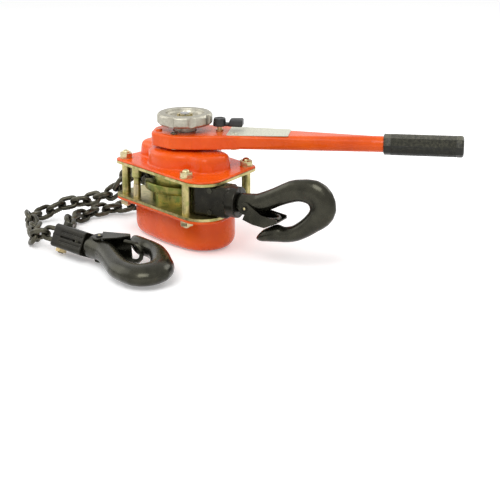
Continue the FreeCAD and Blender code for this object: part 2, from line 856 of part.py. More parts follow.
def lever_nuts():
    # locknuts under the lever, one for each screw
    shapes = []
    for s, w in screw_spots:
        nut = prism(hexagon(lever_nut_flats), lever_bottom - 2.2, lever_bottom)
        nut.translate(V(s, w, 0))
        nut = nut.cut(cylinder(lever_screw_r, lever_bottom - 3, lever_bottom + 1, s, w))
        shapes.append(lever_frame(nut))
    return shapes


def grip():
    centre = (lever_bottom + lever_top) / 2 - 2
    length = lever_reach - arm_end
    body = turned([(0, 0), (grip_r - 1.5, 0), (grip_r, 1.5), (grip_r, length - 4),
                   (grip_r - 1.2, length - 1.2), (grip_r - 4, length), (0, length)])
    body = body.cut(cylinder(rod_r, -1, length - 15))
    body.rotate(V(0, 0, 0), V(0, 1, 0), 90)
    body.translate(V(arm_end, 0, centre))
    return lever_frame(body)


def name_plate():
    s0, s1 = 66.0, 156.0
    taper = (arm_half_w - rod_r) / (arm_end - 12 - arm_start)
    edge = 2.0
    points = [(s0, -arm_half_w + edge), (s1, -arm_half_w + edge + taper * (s1 - arm_start)),
              (s1, arm_half_w - edge - taper * (s1 - arm_start)), (s0, arm_half_w - edge)]
    plate = prism(rounded_polygon(points, [3] * 4), lever_top, lever_top + 0.8)
    for s, w in screw_spots:
        plate = plate.cut(cylinder(5.3, lever_top - 1, lever_top + 2, s, w))
    return lever_frame(plate)


# Selector

def selector_frame(shape):
    shape = shape.copy()
    shape.translate(V(selector_s, 0, 0))
    return lever_frame(shape)


def selector_knob():
    z0 = lever_top + knob_lift
    knob = turned([(0, z0), (knob_r, z0), (knob_r - 1.6, z0 + knob_h), (knob_r - 3, z0 + knob_h),
                   (knob_r - 3, z0 + knob_h - 1), (0, z0 + knob_h - 1)])
    paddle = polygon([(13.5, -8), (35, -9.5), (35, 9.5), (13.5, 8)])
    block = prism(paddle, z0, z0 + knob_h)
    wedge = Part.Face(Part.makePolygon([V(12, -12, z0 + 14), V(12, -12, z0 - 1), V(13.5, -12, z0 - 1),
                                        V(17, -12, z0 + knob_h + 2), V(12, -12, z0 + 14)]))
    block = block.cut(wedge.extrude(V(0, 24, 0)))
    bridge = Part.makeBox(12, 8, 6, V(6, -4, z0))
    body = knob.fuse(block).fuse(bridge).removeSplitter()
    body = body.cut(cylinder(selector_shaft_r, z0 - 1, z0 + 6))
    return selector_frame(body)


def selector_shaft():
    z0 = lever_bottom + lever_cover_t + side_gap
    shaft = cylinder(selector_shaft_r, z0, lever_top + knob_lift + 6)
    collar = cylinder(selector_shaft_r + 2, lever_top + side_gap, lever_top + 3)
    return selector_frame(shaft.fuse(collar).removeSplitter())


def change_pawl():
    # two noses, one for lifting and one for lowering
    z0, z1 = teeth_z + 1, teeth_top - 1
    nose = selector_s - change_gear_r - 3.1
    outline = [(5, -6), (6.2, -2.5), (6.2, 2.5), (5, 6), (-6, 9), (-nose, 13.5), (-nose + 1, 8.5), (-13, 0),
               (-nose + 1, -8.5), (-nose, -13.5), (-6, -9)]
    body = prism(polygon(outline), z0, z1).cut(cylinder(selector_shaft_r, z0 - 1, z1 + 1))
    return selector_frame(body)


def selector_plunger():
    z0, z1 = teeth_z + 2, teeth_top - 2
    body = prism(rounded_polygon([(7.4, -3), (11, -3), (11, 3), (7.4, 3)], [1] * 4), z0, z1)
    return selector_frame(body)


def selector_spring():
    coil = cylinder(2.2, 0, arm_start - arm_wall - selector_s - 11.2)
    coil.rotate(V(0, 0, 0), V(0, 1, 0), 90)
    coil.translate(V(11.1, 0, (teeth_z + teeth_top) / 2))
    return selector_frame(coil)


# Hooks: local X runs from the yoke's end face along the shank, Y to the hook's back

hook_stations = [
    (0, 0, 14.5, 14.5), (3, 0, 14.5, 14.5), (15, 0.6, 14.5, 13.8), (30.5, 2.6, 14.4, 13), (58.9, 16, 13.9, 12),
    (82.1, 26.5, 15.7, 12), (96.2, 29.4, 16.2, 12), (114.3, 28.5, 18.9, 12.5), (125, 20.5, 20.2, 13),
    (129, 7, 19.7, 13), (123.5, -5.5, 17, 13), (113.1, -15.4, 14.2, 12.5), (102.4, -24.2, 12.9, 12),
    (87.7, -33.3, 11.7, 11.5), (76, -36.8, 11.4, 11), (65.4, -38.2, 11.4, 11), (60.4, -37, 13.1, 11),
    (50, -40, 11.2, 10.5), (41.7, -42.7, 9.5, 9.5), (33, -46.9, 6.4, 7.5), (26.5, -49.2, 2.4, 3.5),
]
straight_stations = 3
steps_between = 2
latch_x = 15.5
latch_y = -3.0
latch_rivet_r = 2.5
latch_cheek_t = 1.8
latch_inner_half = 14.8
latch_eye_r = 9.0
long_latch_edge = [(12, -19.5), (28, -25), (46, -27.4), (66, -18.6)]
long_latch_top = [(65.5, -14), (41, -9.5), (22, 3)]
short_latch_edge = [(8, -16), (43, -31), (48, -27)]
short_latch_top = [(38, -12), (24, 1)]
latch_rod_r = 2.8
latch_rod_half = latch_inner_half - latch_rod_r
hidden_rod = (18, -12, -0.1, 44, 26)
open_rod = (18, -12.8, -0.13, 56, 30)
latch_spring_r = 4.8
latch_spring_half = 3.5


def wire_form(spine, radius, closed):
    # eight-sided wire along a flat spine, with mitred rings at its points
    sides = 8
    count = len(spine)
    rings = []
    for i in range(count):
        before = spine[i] - spine[i - 1] if closed or i > 0 else spine[1] - spine[0]
        after = spine[(i + 1) % count] - spine[i] if closed or i < count - 1 else before
        before, after = V(before).normalize(), V(after).normalize()
        tangent = (before + after).normalize()
        outward = V(tangent.y, -tangent.x, 0)
        stretch = 1 / math.cos(before.getAngle(after) / 2)
        loop = []
        for k in range(sides):
            a = 2 * math.pi * (k + 0.5) / sides
            loop.append(spine[i] + outward * (radius * math.cos(a) * stretch) + UP * (radius * math.sin(a)))
        rings.append(loop)
    faces = []
    for i in range(count if closed else count - 1):
        here, there = rings[i], rings[(i + 1) % count]
        for k in range(sides):
            j = (k + 1) % sides
            faces.append(Part.Face(Part.makePolygon([here[k], here[j], there[j], there[k], here[k]])))
    if not closed:
        for loop in (rings[0], rings[-1]):
            faces.append(Part.Face(Part.makePolygon(loop + loop[:1])))
    return Part.Solid(Part.Shell(faces))


def between(values, i, share):
    # smooth curve through the stations, at a share of the way from station i to the next
    last = len(values) - 1
    before, here, after, later = (values[max(0, min(last, k))] for k in (i - 1, i, i + 1, i + 2))
    point = []
    for p0, p1, p2, p3 in zip(before, here, after, later):
        rise = (p2 - p0) / 2
        fall = (p3 - p1) / 2
        bend = 3 * (p2 - p1) - 2 * rise - fall
        turn = 2 * (p1 - p2) + rise + fall
        point.append(p1 + share * (rise + share * (bend + share * turn)))
    return tuple(point)


def hook_line():
    line = []
    for i in range(len(hook_stations) - 1):
        steps = 1 if i < straight_stations else steps_between
        for step in range(steps):
            line.append(between(hook_stations, i, step / steps))
    return line + hook_stations[-1:]


def hook_blank(scale):
    # loft through ellipses along the line of the stations
    sections = []
    line = hook_line()
    count = len(line)
    for i, (x, y, radial, thick) in enumerate(line):
        x0, y0 = line[max(i - 1, 0)][:2]
        x1, y1 = line[min(i + 1, count - 1)][:2]
        tangent = V(x1 - x0, y1 - y0, 0).normalize()
        side = V(-tangent.y, tangent.x, 0)
        around = []
        for k in range(12):
            a = math.pi * k / 6
            around.append((V(x, y, 0) + side * (radial * math.cos(a)) + UP * (thick * math.sin(a))) * scale)
        curve = Part.BSplineCurve()
        curve.interpolate(Points=around, PeriodicFlag=True)
        sections.append(Part.Wire([curve.toShape()]))
    return Part.makeLoft(sections, True, True)


def along_x(radius, x0, x1):
    return Part.makeCylinder(radius, x1 - x0, V(x0, 0, 0), V(1, 0, 0))


def hook_body(scale, wall, shank):
    # the shank runs through the yoke's wall to the head that it holds
    body = hook_blank(scale)
    px, py = latch_x * scale, latch_y * scale
    reach = (latch_spring_r + 1) * scale
    half = (latch_spring_half + side_gap) * scale
    deep = 30 * scale
    body = body.cut(Part.makeBox(2 * reach, deep, 2 * half, V(px - reach, py + reach - deep, -half)))
    body = body.cut(Part.makeCylinder(latch_rivet_r * scale, 80, V(px, py, -40), UP))
    head_x = -wall - 2 * side_gap
    body = body.fuse(along_x(shank, head_x, 1))
    body = body.fuse(along_x(shank + shank_head_step, head_x - shank_head_w, head_x))
    return body.removeSplitter()


def latch(scale, edge, top):
    # channel that closes the mouth: its web follows the outer edge and ends along the nose
    half = latch_inner_half + latch_cheek_t
    corners = [V(x, y, -half) * scale for x, y in edge + top]
    body = Part.Face(Part.makePolygon(corners + corners[:1])).extrude(V(0, 0, 2 * half * scale))
    eye = Part.makeCylinder(latch_eye_r * scale, 2 * half * scale, V(latch_x, latch_y, -half) * scale, UP)
    body = body.fuse(eye)
    web = [(x, y + latch_cheek_t) for x, y in edge]
    inner = [(-20, web[0][1])] + web + [(80, web[-1][1]), (80, 30), (-20, 30)]
    corners = [V(x, y, -latch_inner_half) * scale for x, y in inner]
    room = Part.Face(Part.makePolygon(corners + corners[:1])).extrude(V(0, 0, 2 * latch_inner_half * scale))
    body = body.cut(room)
    bore = (latch_rivet_r + running_fit) * scale
    body = body.cut(Part.makeCylinder(bore, 80, V(latch_x * scale, latch_y * scale, -40), UP))
    return body.removeSplitter()


def latch_rod(scale, x, y, slope, length, back):
    # one leg from beside the rivet, round the free end, and a leg back to a cut end
    half = latch_rod_half
    tip = length - half
    spine = [V(0, -half, 0)]
    for k in range(7):
        a = math.pi * (k / 6 - 0.5)
        spine.append(V(tip + half * math.cos(a), half * math.sin(a), 0))
    spine.append(V(back, half, 0))
    rod = wire_form([p * scale for p in spine], latch_rod_r * scale, False)
    return place(rod, V(x, y, 0) * scale, V(1, slope, 0).normalize(), UP * -1)


def latch_rivet(scale):
    half = latch_inner_half + latch_cheek_t
    shank = Part.makeCylinder(latch_rivet_r * scale, 2 * half * scale, V(latch_x, latch_y, -half) * scale, UP)
    head_r, head_h = 1.7 * latch_rivet_r * scale, 1.2 * scale
    for sign in (1, -1):
        head = Part.makeCylinder(head_r, head_h, V(latch_x, latch_y, sign * half) * scale, UP * sign)
        shank = shank.fuse(head)
    return shank.removeSplitter()


def latch_spring(scale):
    centre = V(latch_x, latch_y, -latch_spring_half) * scale
    length = 2 * latch_spring_half * scale
    coil = Part.makeCylinder(latch_spring_r * scale, length, centre, UP)
    return coil.cut(Part.makeCylinder(latch_rivet_r * scale, length + 2, centre - UP, UP))


def top_seat(shape):
    # hook frame to the top yoke's front face, back of the hook upwards
    a = math.radians(top_hook_angle)
    forward = V(math.cos(a), math.sin(a), 0)
    return place(shape, V(hook_pin_x, hook_pin_y, mid_z) + forward * (yoke_front + side_gap), forward, UP)


def top_yoke():
    # cast block on the top pin, split down the middle and riveted
    half_h = yoke_half_h
    end = yoke_shoulder
    corners = [(-yoke_back, -yoke_half_w), (end, -yoke_half_w), (end, yoke_half_w), (-yoke_back, yoke_half_w)]
    block = rounded_polygon(corners, [yoke_back - 0.5, 3, 3, yoke_back - 0.5])
    body = prism(block, -half_h, half_h)
    edges = [e for e in body.Edges if at_height(half_h)(e) or at_height(-half_h)(e)]
    body = body.makeChamfer(2.5, edges)
    body = body.fuse(along_x(yoke_half_h, yoke_shoulder - 4, yoke_front))
    body = body.cut(cylinder(hook_pin_r + running_fit, -half_h - 1, half_h + 1))
    inner = yoke_front - yoke_wall
    body = body.cut(along_x(shank_r + running_fit, inner - 1, yoke_front + 1))
    return body.cut(along_x(shank_r + shank_head_step + side_gap, inner - shank_head_w - 2 * side_gap, inner))


yoke_rivet_xz = [(20.0, 16.0), (20.0, -16.0)]


def yoke_half(sign):
    body = top_yoke()
    for x, z in yoke_rivet_xz:
        body = body.cut(Part.makeCylinder(2.5, 60, V(x, -30, z), V(0, 1, 0)))
    box = body.BoundBox
    low, high = (0, box.YMax + 1) if sign > 0 else (box.YMin - 1, 0)
    keep = Part.makeBox(box.XLength + 2, high - low, box.ZLength + 2, V(box.XMin - 1, low, box.ZMin - 1))
    a = math.radians(top_hook_angle)
    along = V(math.cos(a), math.sin(a), 0)
    across = V(-math.sin(a), math.cos(a), 0)
    return place(body.common(keep), V(hook_pin_x, hook_pin_y, mid_z), along, across)


def yoke_rivets():
    shapes = []
    a = math.radians(top_hook_angle)
    along = V(math.cos(a), math.sin(a), 0)
    across = V(-math.sin(a), math.cos(a), 0)
    for x, z in yoke_rivet_xz:
        reach = yoke_half_w
        rivet = Part.makeCylinder(2.5, 2 * reach, V(x, -reach, z), V(0, 1, 0))
        for sign in (1, -1):
            head = Part.makeCylinder(4, 1.0, V(x, sign * reach, z), V(0, sign, 0))
            rivet = rivet.fuse(head)
        shapes.append(place(rivet.removeSplitter(), V(hook_pin_x, hook_pin_y, mid_z), along, across))
    return shapes


# Load chain: each link is placed by the turn it makes in the one before it

link_slack = 0.25
wire_r = wire_d / 2
bend_r = link_w / 2 - wire_r
half_straight = pitch / 2 + wire_r - bend_r
arc_gap = pitch - link_slack - 2 * half_straight
max_turn = math.radians(34)
max_twist = math.radians(12)
look_ahead = 30.0
track_step = 2.0
track_gain = 0.6
floor_gap = 0.4

load_route = [
    (0, -33.5, 87), (-30, -33.5, 87), (-62, -33.5, 87), (-93, -34, 84), (-117, -39, 65), (-137, -48, 47),
    (-160, -60, 36), (-181, -74, 30), (-198, -92, 23), (-207, -112, 16), (-205, -134, 11.5), (-188, -154, 11),
    (-162, -171, 11), (-132, -185, 11), (-104, -197, 13), (-80, -198, 20), (-59, -191, 27), (-33, -185, 30),
    (0, -180, 30),
]
slack_route = [
    (0, 31, 87), (-30, 31, 87), (-62, 31, 87), (-93, 31, 84), (-118, 29, 62), (-136, 24, 38),
    (-154, 12, 16), (-166, -8, 10.5), (-172, -35, 10.5), (-170, -62, 10.5), (-163, -88, 10.5), (-146, -110, 10.5), (-124, -124, 10.5),
]


def link_blank():
    # two rounded ends joined by straight sides, with the corners of each end just outside its circle
    corners = 4
    corner_radius = 1.06 * bend_r
    spine = []
    for end in (1, -1):
        for k in range(corners):
            a = math.pi * ((k + 0.5) / corners - 0.5)
            spine.append(V(half_straight + corner_radius * math.cos(a), corner_radius * math.sin(a), 0) * end)
    return wire_form(spine, wire_r, True)


def turned_about(vector, axis, angle):
    return FreeCAD.Rotation(axis, math.degrees(angle)).multVec(vector)


def clamp(value, limit):
    return max(-limit, min(limit, value))


class Link:
    def __init__(self, centre, along, normal):
        self.centre = centre
        self.along = along.normalize()
        self.normal = (normal - self.along * normal.dot(self.along)).normalize()

    def next(self, aim, twist):
        # the next link turns first in this link's plane and then in its own
        across = self.normal.cross(self.along)
        first = clamp(math.atan2(aim.dot(across), aim.dot(self.along)), max_turn)
        middle = turned_about(V(self.along), self.normal, first)
        normal = turned_about(self.normal.cross(middle), middle, twist)
        side = normal.cross(middle)
        second = clamp(math.atan2(aim.dot(side), aim.dot(middle)), max_turn)
        along = turned_about(middle, normal, second)
        centre = self.centre + self.along * half_straight + middle * arc_gap + along * half_straight
        return Link(centre, along, normal)

    def lowest(self):
        reach = half_straight * abs(self.along.z) + bend_r * math.sqrt(1 - self.normal.z ** 2)
        return self.centre.z - reach - wire_r

    def roll(self):
        # turn of the link's plane about its own length, from level
        level = V(-self.along.y, self.along.x, 0).normalize()
        return math.atan2(self.normal.dot(level), self.normal.dot(self.along.cross(level)))

    def solid(self, blank):
        return place(blank, self.centre, self.along, self.normal.cross(self.along))


def chain_links(first, route, count, rolls):
    # rolls: (link number, wanted roll in degrees), taken to the nearest quarter turn
    curve = Part.BSplineCurve()
    curve.interpolate([V(*p) for p in route])
    track = curve.toShape().discretize(Distance=track_step)
    ahead = round(look_ahead / track_step)
    links = [first]
    near = 0
    for k in range(1, count):
        here = links[-1]
        window = range(near, min(near + 2 * ahead, len(track)))
        near = min(window, key=lambda i: track[i].distanceToPoint(here.centre))
        target = track[min(near + ahead, len(track) - 1)]
        drift = track[near] - here.centre
        drift = (drift - here.along * drift.dot(here.along)) * track_gain
        aim = (target + drift - here.centre - here.along * half_straight).normalize()
        if near + ahead >= len(track):
            aim = (track[-1] - track[-1 - ahead]).normalize()
        wanted = [r for n, r in rolls if n <= k][-1]
        quarter = math.pi / 2
        error = (math.radians(wanted) - here.roll() + quarter / 2) % quarter - quarter / 2
        link = here.next(aim, clamp(-error, max_twist))
        for lift in range(20):
            if link.lowest() > floor_gap:
                break
            aim = (aim + UP * 0.03).normalize()
            link = here.next(aim, clamp(-error, max_twist))
        links.append(link)
    return links


def sheave_links():
    # pocket links lie flat on the sheave, groove links stand in its groove
    links = []
    for k in range(pockets + 1):
        angle = -math.pi / 2 + k * math.pi / pockets
        radial = V(math.cos(angle), math.sin(angle), 0)
        along = V(-math.sin(angle), math.cos(angle), 0)
        grooved = k % 2 == 0
        radius = groove_link_r if grooved else pocket_link_r
        links.append(Link(radial * radius + UP * mid_z, along, UP if grooved else radial))
    return links


def free_chain():
    wrap = sheave_links()
    out = Link(wrap[0].centre, wrap[0].along * -1, wrap[0].normal)
    load = chain_links(out, load_route, load_count, [(0, 0), (8, 45), (20, 18)])
    slack = chain_links(wrap[-1], slack_route, slack_count, [(0, 0), (7, 45)])
    return wrap, load[1:], slack[1:]


load_count = 24
slack_count = 18
guided = 2
wrap_chain, load_strand, slack_strand = free_chain()


# Bottom hook set, carried by the last link of the load strand

bottom_scale = 1.12
bottom_bolt_r = 4.3
bottom_half = 17.0
bottom_back = 8.6
bottom_front = 55.0
bottom_shank = 11.5
bottom_nut_flats = 14.0
bottom_nut_h = 5.0
bottom_hook_roll = 6.0
bottom_yaw = 8.0
bottom_droop = 2.5


def bottom_axes():
    # the bolt stands square to the last link, and the shank points along the yoke
    last = load_strand[-1]
    down = last.normal if last.normal.z < 0 else last.normal * -1
    yaw, droop = math.radians(bottom_yaw), math.radians(bottom_droop)
    aim = V(math.cos(yaw) * math.cos(droop), math.sin(yaw) * math.cos(droop), -math.sin(droop))
    forward = (aim - down * aim.dot(down)).normalize()
    bolt = last.centre + last.along * (pitch / 2 - bottom_bolt_r - side_gap)
    return bolt, forward, down


def bottom_frame(shape):
    bolt, forward, down = bottom_axes()
    return place(shape, bolt, forward, down.cross(forward))


def bottom_hook_frame(shape):
    bolt, forward, down = bottom_axes()
    level = forward.cross(UP).normalize()
    back = turned_about(level, forward, math.radians(bottom_hook_roll))
    return place(shape, bolt + forward * (bottom_front + side_gap), forward, back)


def bottom_block():
    half = bottom_half
    edge = 5.0
    body = Part.makeBox(bottom_front + bottom_back, 2 * half, 2 * half, V(-bottom_back, -half, -half))
    body = body.makeFillet(edge, [e for e in body.Edges if e.BoundBox.XLength > 10])
    rib = 7.0
    for k in (-1, 0, 1):
        for sign in (1, -1):
            groove = Part.makeBox(44, 3, 1.5, V(8, k * rib - 1.5, half - 1.5 if sign > 0 else -half))
            body = body.cut(groove)
            groove = Part.makeBox(44, 1.5, 3, V(8, half - 1.5 if sign > 0 else -half, k * rib - 1.5))
            body = body.cut(groove)
    slot_h = wire_d + 1.2
    slot_w = link_w + 3.6
    slot_end = wire_d + bottom_bolt_r + 1.3
    corner = V(-bottom_back - 1, -slot_w / 2, -slot_h / 2)
    slot = Part.makeBox(slot_end + bottom_back + 1, slot_w, slot_h, corner)
    body = body.cut(slot)
    body = body.cut(cylinder(bottom_bolt_r, -half - 1, half + 1))
    inner = bottom_front - yoke_wall
    body = body.cut(along_x(bottom_shank + running_fit, inner - 1, bottom_front + 1))
    head_room = bottom_shank + shank_head_step + side_gap
    return body.cut(along_x(head_room, inner - shank_head_w - 2 * side_gap, inner))


def bottom_yoke_half(sign):
    keep = Part.makeBox(200, 200, 100, V(-100, -100, 0 if sign > 0 else -100))
    return bottom_frame(bottom_block().common(keep))


def bottom_bolt():
    half = bottom_half
    shank = cylinder(bottom_bolt_r, -half, half + bottom_nut_h + 1.5)
    head = prism(hexagon(bottom_nut_flats), -half - 5, -half)
    return bottom_frame(shank.fuse(head).removeSplitter())


def bottom_nut():
    half = bottom_half
    nut = prism(hexagon(bottom_nut_flats), half, half + bottom_nut_h)
    return bottom_frame(nut.cut(cylinder(bottom_bolt_r, half - 1, half + bottom_nut_h + 1)))


def build_all():
    parts = {
        "gear_side_plate": gear_side_plate(),
        "brake_side_plate": brake_side_plate(),
        "stays": stays(),
        "stay_nuts": stay_nuts(),
        "gear_cover": gear_cover(),
        "brake_cover": brake_cover(),
        "chain_guide": chain_guide(),
        "guide_roller_left": guide_roller(1),
        "guide_roller_right": guide_roller(-1),
        "roller_pins": roller_pins(),
        "chain_stripper": chain_stripper(),
        "top_pin": top_pin(),
        "load_sheave": load_sheave(),
        "sheave_bearings": sheave_bearings(),
        "load_gear": load_gear(),
        "load_gear_ring": load_gear_ring(),
        "second_gear_front": second_gear(1),
        "second_gear_rear": second_gear(-1),
        "gear_bushes": gear_bushes(),
        "drive_shaft": drive_shaft(),
        "disc_hub": disc_hub(),
        "friction_discs": friction_discs(),
        "ratchet_disc": ratchet_disc(),
        "brake_pawl_front": brake_pawl(1),
        "brake_pawl_rear": brake_pawl(-1),
        "pawl_pins": pawl_pins(),
        "pawl_springs": pawl_springs(),
        "change_gear": change_gear(),
        "hand_wheel": hand_wheel(),
        "wheel_nut": wheel_nut(),
        "lever_body": lever_body(),
        "lever_cover": lever_cover(),
        "lever_screws": lever_screws() + lever_nuts(),
        "grip": grip(),
        "name_plate": name_plate(),
        "selector_knob": selector_knob(),
        "selector_shaft": selector_shaft(),
        "change_pawl": change_pawl(),
        "selector_plunger": selector_plunger(),
        "selector_spring": selector_spring(),
        "top_yoke_left": yoke_half(1),
        "top_yoke_right": yoke_half(-1),
        "top_yoke_rivets": yoke_rivets(),
        "top_hook": top_seat(hook_body(1.0, yoke_wall, shank_r)),
        "top_latch": top_seat(latch(1.0, long_latch_edge, long_latch_top)),
        "top_latch_rod": top_seat(latch_rod(1.0, *hidden_rod)),
        "top_latch_rivet": top_seat(latch_rivet(1.0)),
        "top_latch_spring": top_seat(latch_spring(1.0)),
        "bottom_yoke_upper": bottom_yoke_half(-1),
        "bottom_yoke_lower": bottom_yoke_half(1),
        "bottom_bolt": bottom_bolt(),
        "bottom_nut": bottom_nut(),
    }
    scale = bottom_scale
    parts["bottom_hook"] = bottom_hook_frame(hook_body(scale, yoke_wall, bottom_shank))
    parts["bottom_latch"] = bottom_hook_frame(latch(scale, short_latch_edge, short_latch_top))
    parts["bottom_latch_rod"] = bottom_hook_frame(latch_rod(scale, *open_rod))
    parts["bottom_latch_rivet"] = bottom_hook_frame(latch_rivet(scale))
    parts["bottom_latch_spring"] = bottom_hook_frame(latch_spring(scale))
    blank = link_blank()
    on_sheave = wrap_chain + load_strand[:guided] + slack_strand[:guided]
    parts["chain_on_sheave"] = [l.solid(blank) for l in on_sheave]
    parts["load_chain"] = [l.solid(blank) for l in load_strand[guided:]]
    parts["slack_chain"] = [l.solid(blank) for l in slack_strand[guided:]]
    return parts


def export(parts):
    os.makedirs("parts", exist_ok=True)
    for name, shape in parts.items():
        solid = Part.makeCompound(shape) if isinstance(shape, list) else shape
        solid.exportStep("parts/" + name + ".step")
        if not solid.isValid() or len(solid.Solids) != (len(shape) if isinstance(shape, list) else 1):
            print("check", name, solid.isValid(), len(solid.Solids))


export(build_all())
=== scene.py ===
import json
import math

import bmesh
import bpy
from mathutils import Matrix, Vector


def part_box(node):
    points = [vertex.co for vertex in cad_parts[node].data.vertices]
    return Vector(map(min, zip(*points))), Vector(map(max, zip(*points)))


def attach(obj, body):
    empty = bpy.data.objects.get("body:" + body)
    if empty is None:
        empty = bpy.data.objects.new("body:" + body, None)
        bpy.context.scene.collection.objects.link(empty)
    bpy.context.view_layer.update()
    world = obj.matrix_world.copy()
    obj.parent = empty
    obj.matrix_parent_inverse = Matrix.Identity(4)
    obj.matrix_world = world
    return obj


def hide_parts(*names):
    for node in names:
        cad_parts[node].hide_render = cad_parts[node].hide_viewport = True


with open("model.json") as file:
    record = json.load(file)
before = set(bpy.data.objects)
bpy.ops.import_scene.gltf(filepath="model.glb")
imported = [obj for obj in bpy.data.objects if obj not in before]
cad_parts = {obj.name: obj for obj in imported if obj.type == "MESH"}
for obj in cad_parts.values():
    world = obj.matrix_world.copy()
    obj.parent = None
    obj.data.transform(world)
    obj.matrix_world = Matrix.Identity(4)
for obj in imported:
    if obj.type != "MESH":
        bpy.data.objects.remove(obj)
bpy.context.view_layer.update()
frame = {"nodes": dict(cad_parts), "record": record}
nodes = frame["nodes"]
record = frame["record"]
bodyOf = {name: body for body, members in record["behaviour"]["bodies"].items() for name in members}
slotOf = {part["node"]: part["material_slot"] for part in record["subparts"]}
mm = 0.001


# Node helpers for the materials

noiseBase = {"rough": 0.55, "low": 0.3, "high": 0.7, "turn": (0, 0, 0)}


def noiseNode(tree, place, look):
    # a noise; one that runs in streaks has its coordinates stretched and turned first
    if "stretch" in look:
        mapping = tree.nodes.new("ShaderNodeMapping")
        mapping.inputs["Scale"].default_value = look["stretch"]
        mapping.inputs["Rotation"].default_value = look.get("turn", noiseBase["turn"])
        tree.links.new(place, mapping.inputs["Vector"])
        place = mapping.outputs["Vector"]
    node = tree.nodes.new("ShaderNodeTexNoise")
    node.inputs["Scale"].default_value = look["scale"]
    node.inputs["Detail"].default_value = look["detail"]
    node.inputs["Roughness"].default_value = look.get("rough", noiseBase["rough"])
    tree.links.new(place, node.inputs["Vector"])
    return node.outputs["Fac"]


def mathNode(tree, operation, *values):
    # each value is a plain number or another node's output
    node = tree.nodes.new("ShaderNodeMath")
    node.operation = operation
    for socket, value in zip(node.inputs, values):
        if isinstance(value, bpy.types.NodeSocket):
            tree.links.new(value, socket)
        else:
            socket.default_value = value
    return node.outputs[0]


def rampNode(tree, factor, stops):
    node = tree.nodes.new("ShaderNodeValToRGB")
    ramp = node.color_ramp
    while len(ramp.elements) < len(stops):
        ramp.elements.new(0.5)
    for element, (position, colour) in zip(ramp.elements, stops):
        element.position = position
        element.color = (*colour, 1)
    tree.links.new(factor, node.inputs["Fac"])
    return node.outputs["Color"]


def rangeNode(tree, factor, low, high):
    # nearly all of a noise lies between the two From values
    node = tree.nodes.new("ShaderNodeMapRange")
    node.inputs["From Min"].default_value = noiseBase["low"]
    node.inputs["From Max"].default_value = noiseBase["high"]
    node.inputs["To Min"].default_value = low
    node.inputs["To Max"].default_value = high
    tree.links.new(factor, node.inputs["Value"])
    return node.outputs["Result"]


def bumpNode(tree, shader, layers):
    previous = None
    for height, strength, depth in layers:
        node = tree.nodes.new("ShaderNodeBump")
        node.inputs["Strength"].default_value = strength
        node.inputs["Distance"].default_value = depth
        tree.links.new(height, node.inputs["Height"])
        if previous is not None:
            tree.links.new(previous, node.inputs["Normal"])
        previous = node.outputs["Normal"]
    tree.links.new(previous, shader.inputs["Normal"])


def makeFinish(look):
    material = bpy.data.materials.new(look["name"])
    material.use_nodes = True
    tree = material.node_tree
    shader = tree.nodes["Principled BSDF"]
    coords = tree.nodes.new("ShaderNodeTexCoord")
    place = coords.outputs["Object"]
    noises = {name: noiseNode(tree, place, noise) for name, noise in look["noises"].items()}
    source, stops = look["colour"]
    factor = noises[source]
    if "dustAndTopLight" in look:
        # the side facing up is painted lighter and the side facing down darker: partly fine dust, partly
        # painted light from above and painted shade below
        facing = tree.nodes.new("ShaderNodeSeparateXYZ")
        tree.links.new(coords.outputs["Normal"], facing.inputs[0])
        factor = mathNode(tree, "MULTIPLY_ADD", facing.outputs["Z"], look["dustAndTopLight"], factor)
    tree.links.new(rampNode(tree, factor, stops), shader.inputs["Base Color"])
    source, low, high = look["roughness"]
    tree.links.new(rangeNode(tree, noises[source], low, high), shader.inputs["Roughness"])
    for socket, value in look["fixed"].items():
        shader.inputs[socket].default_value = value
    bumpNode(tree, shader, [(noises[source], strength, depth) for source, strength, depth in look["relief"]])
    return material


# Finishes: each has its noises, and says which of them drives the colour (with its stops), the roughness
# (from low to high) and each layer of the relief (with its strength and its depth in metres)

def zincLook(name, stops, low, high):
    # chromate plating drifts between gold, olive and a little pink
    return {
        "name": name,
        "noises": {"tint": {"scale": 30, "detail": 4, "rough": 0.62},
                   "fine": {"scale": 160, "detail": 4, "stretch": (1, 6, 1), "turn": (0, 0, 0.6)},
                   "grain": {"scale": 420, "detail": 3}},
        "colour": ("tint", stops),
        "roughness": ("fine", low, high),
        "fixed": {"Metallic": 1.0},
        "relief": [("grain", 0.10, 0.0003)],
    }


def oxideLook(name, dark, light, low, high, metal, coat, grain):
    # forged steel with a dark oil finish: a soft sheen broken by fine scale
    return {
        "name": name,
        "noises": {"cloud": {"scale": 60, "detail": 3, "rough": 0.5},
                   "wear": {"scale": 150, "detail": 4},
                   "grain": {"scale": grain, "detail": 3}},
        "colour": ("cloud", [(0.32, dark), (0.68, light)]),
        "roughness": ("wear", low, high),
        "fixed": {"Metallic": metal, "Coat Weight": coat, "Coat Roughness": 0.22},
        "relief": [("grain", 0.10, 0.0002)],
    }


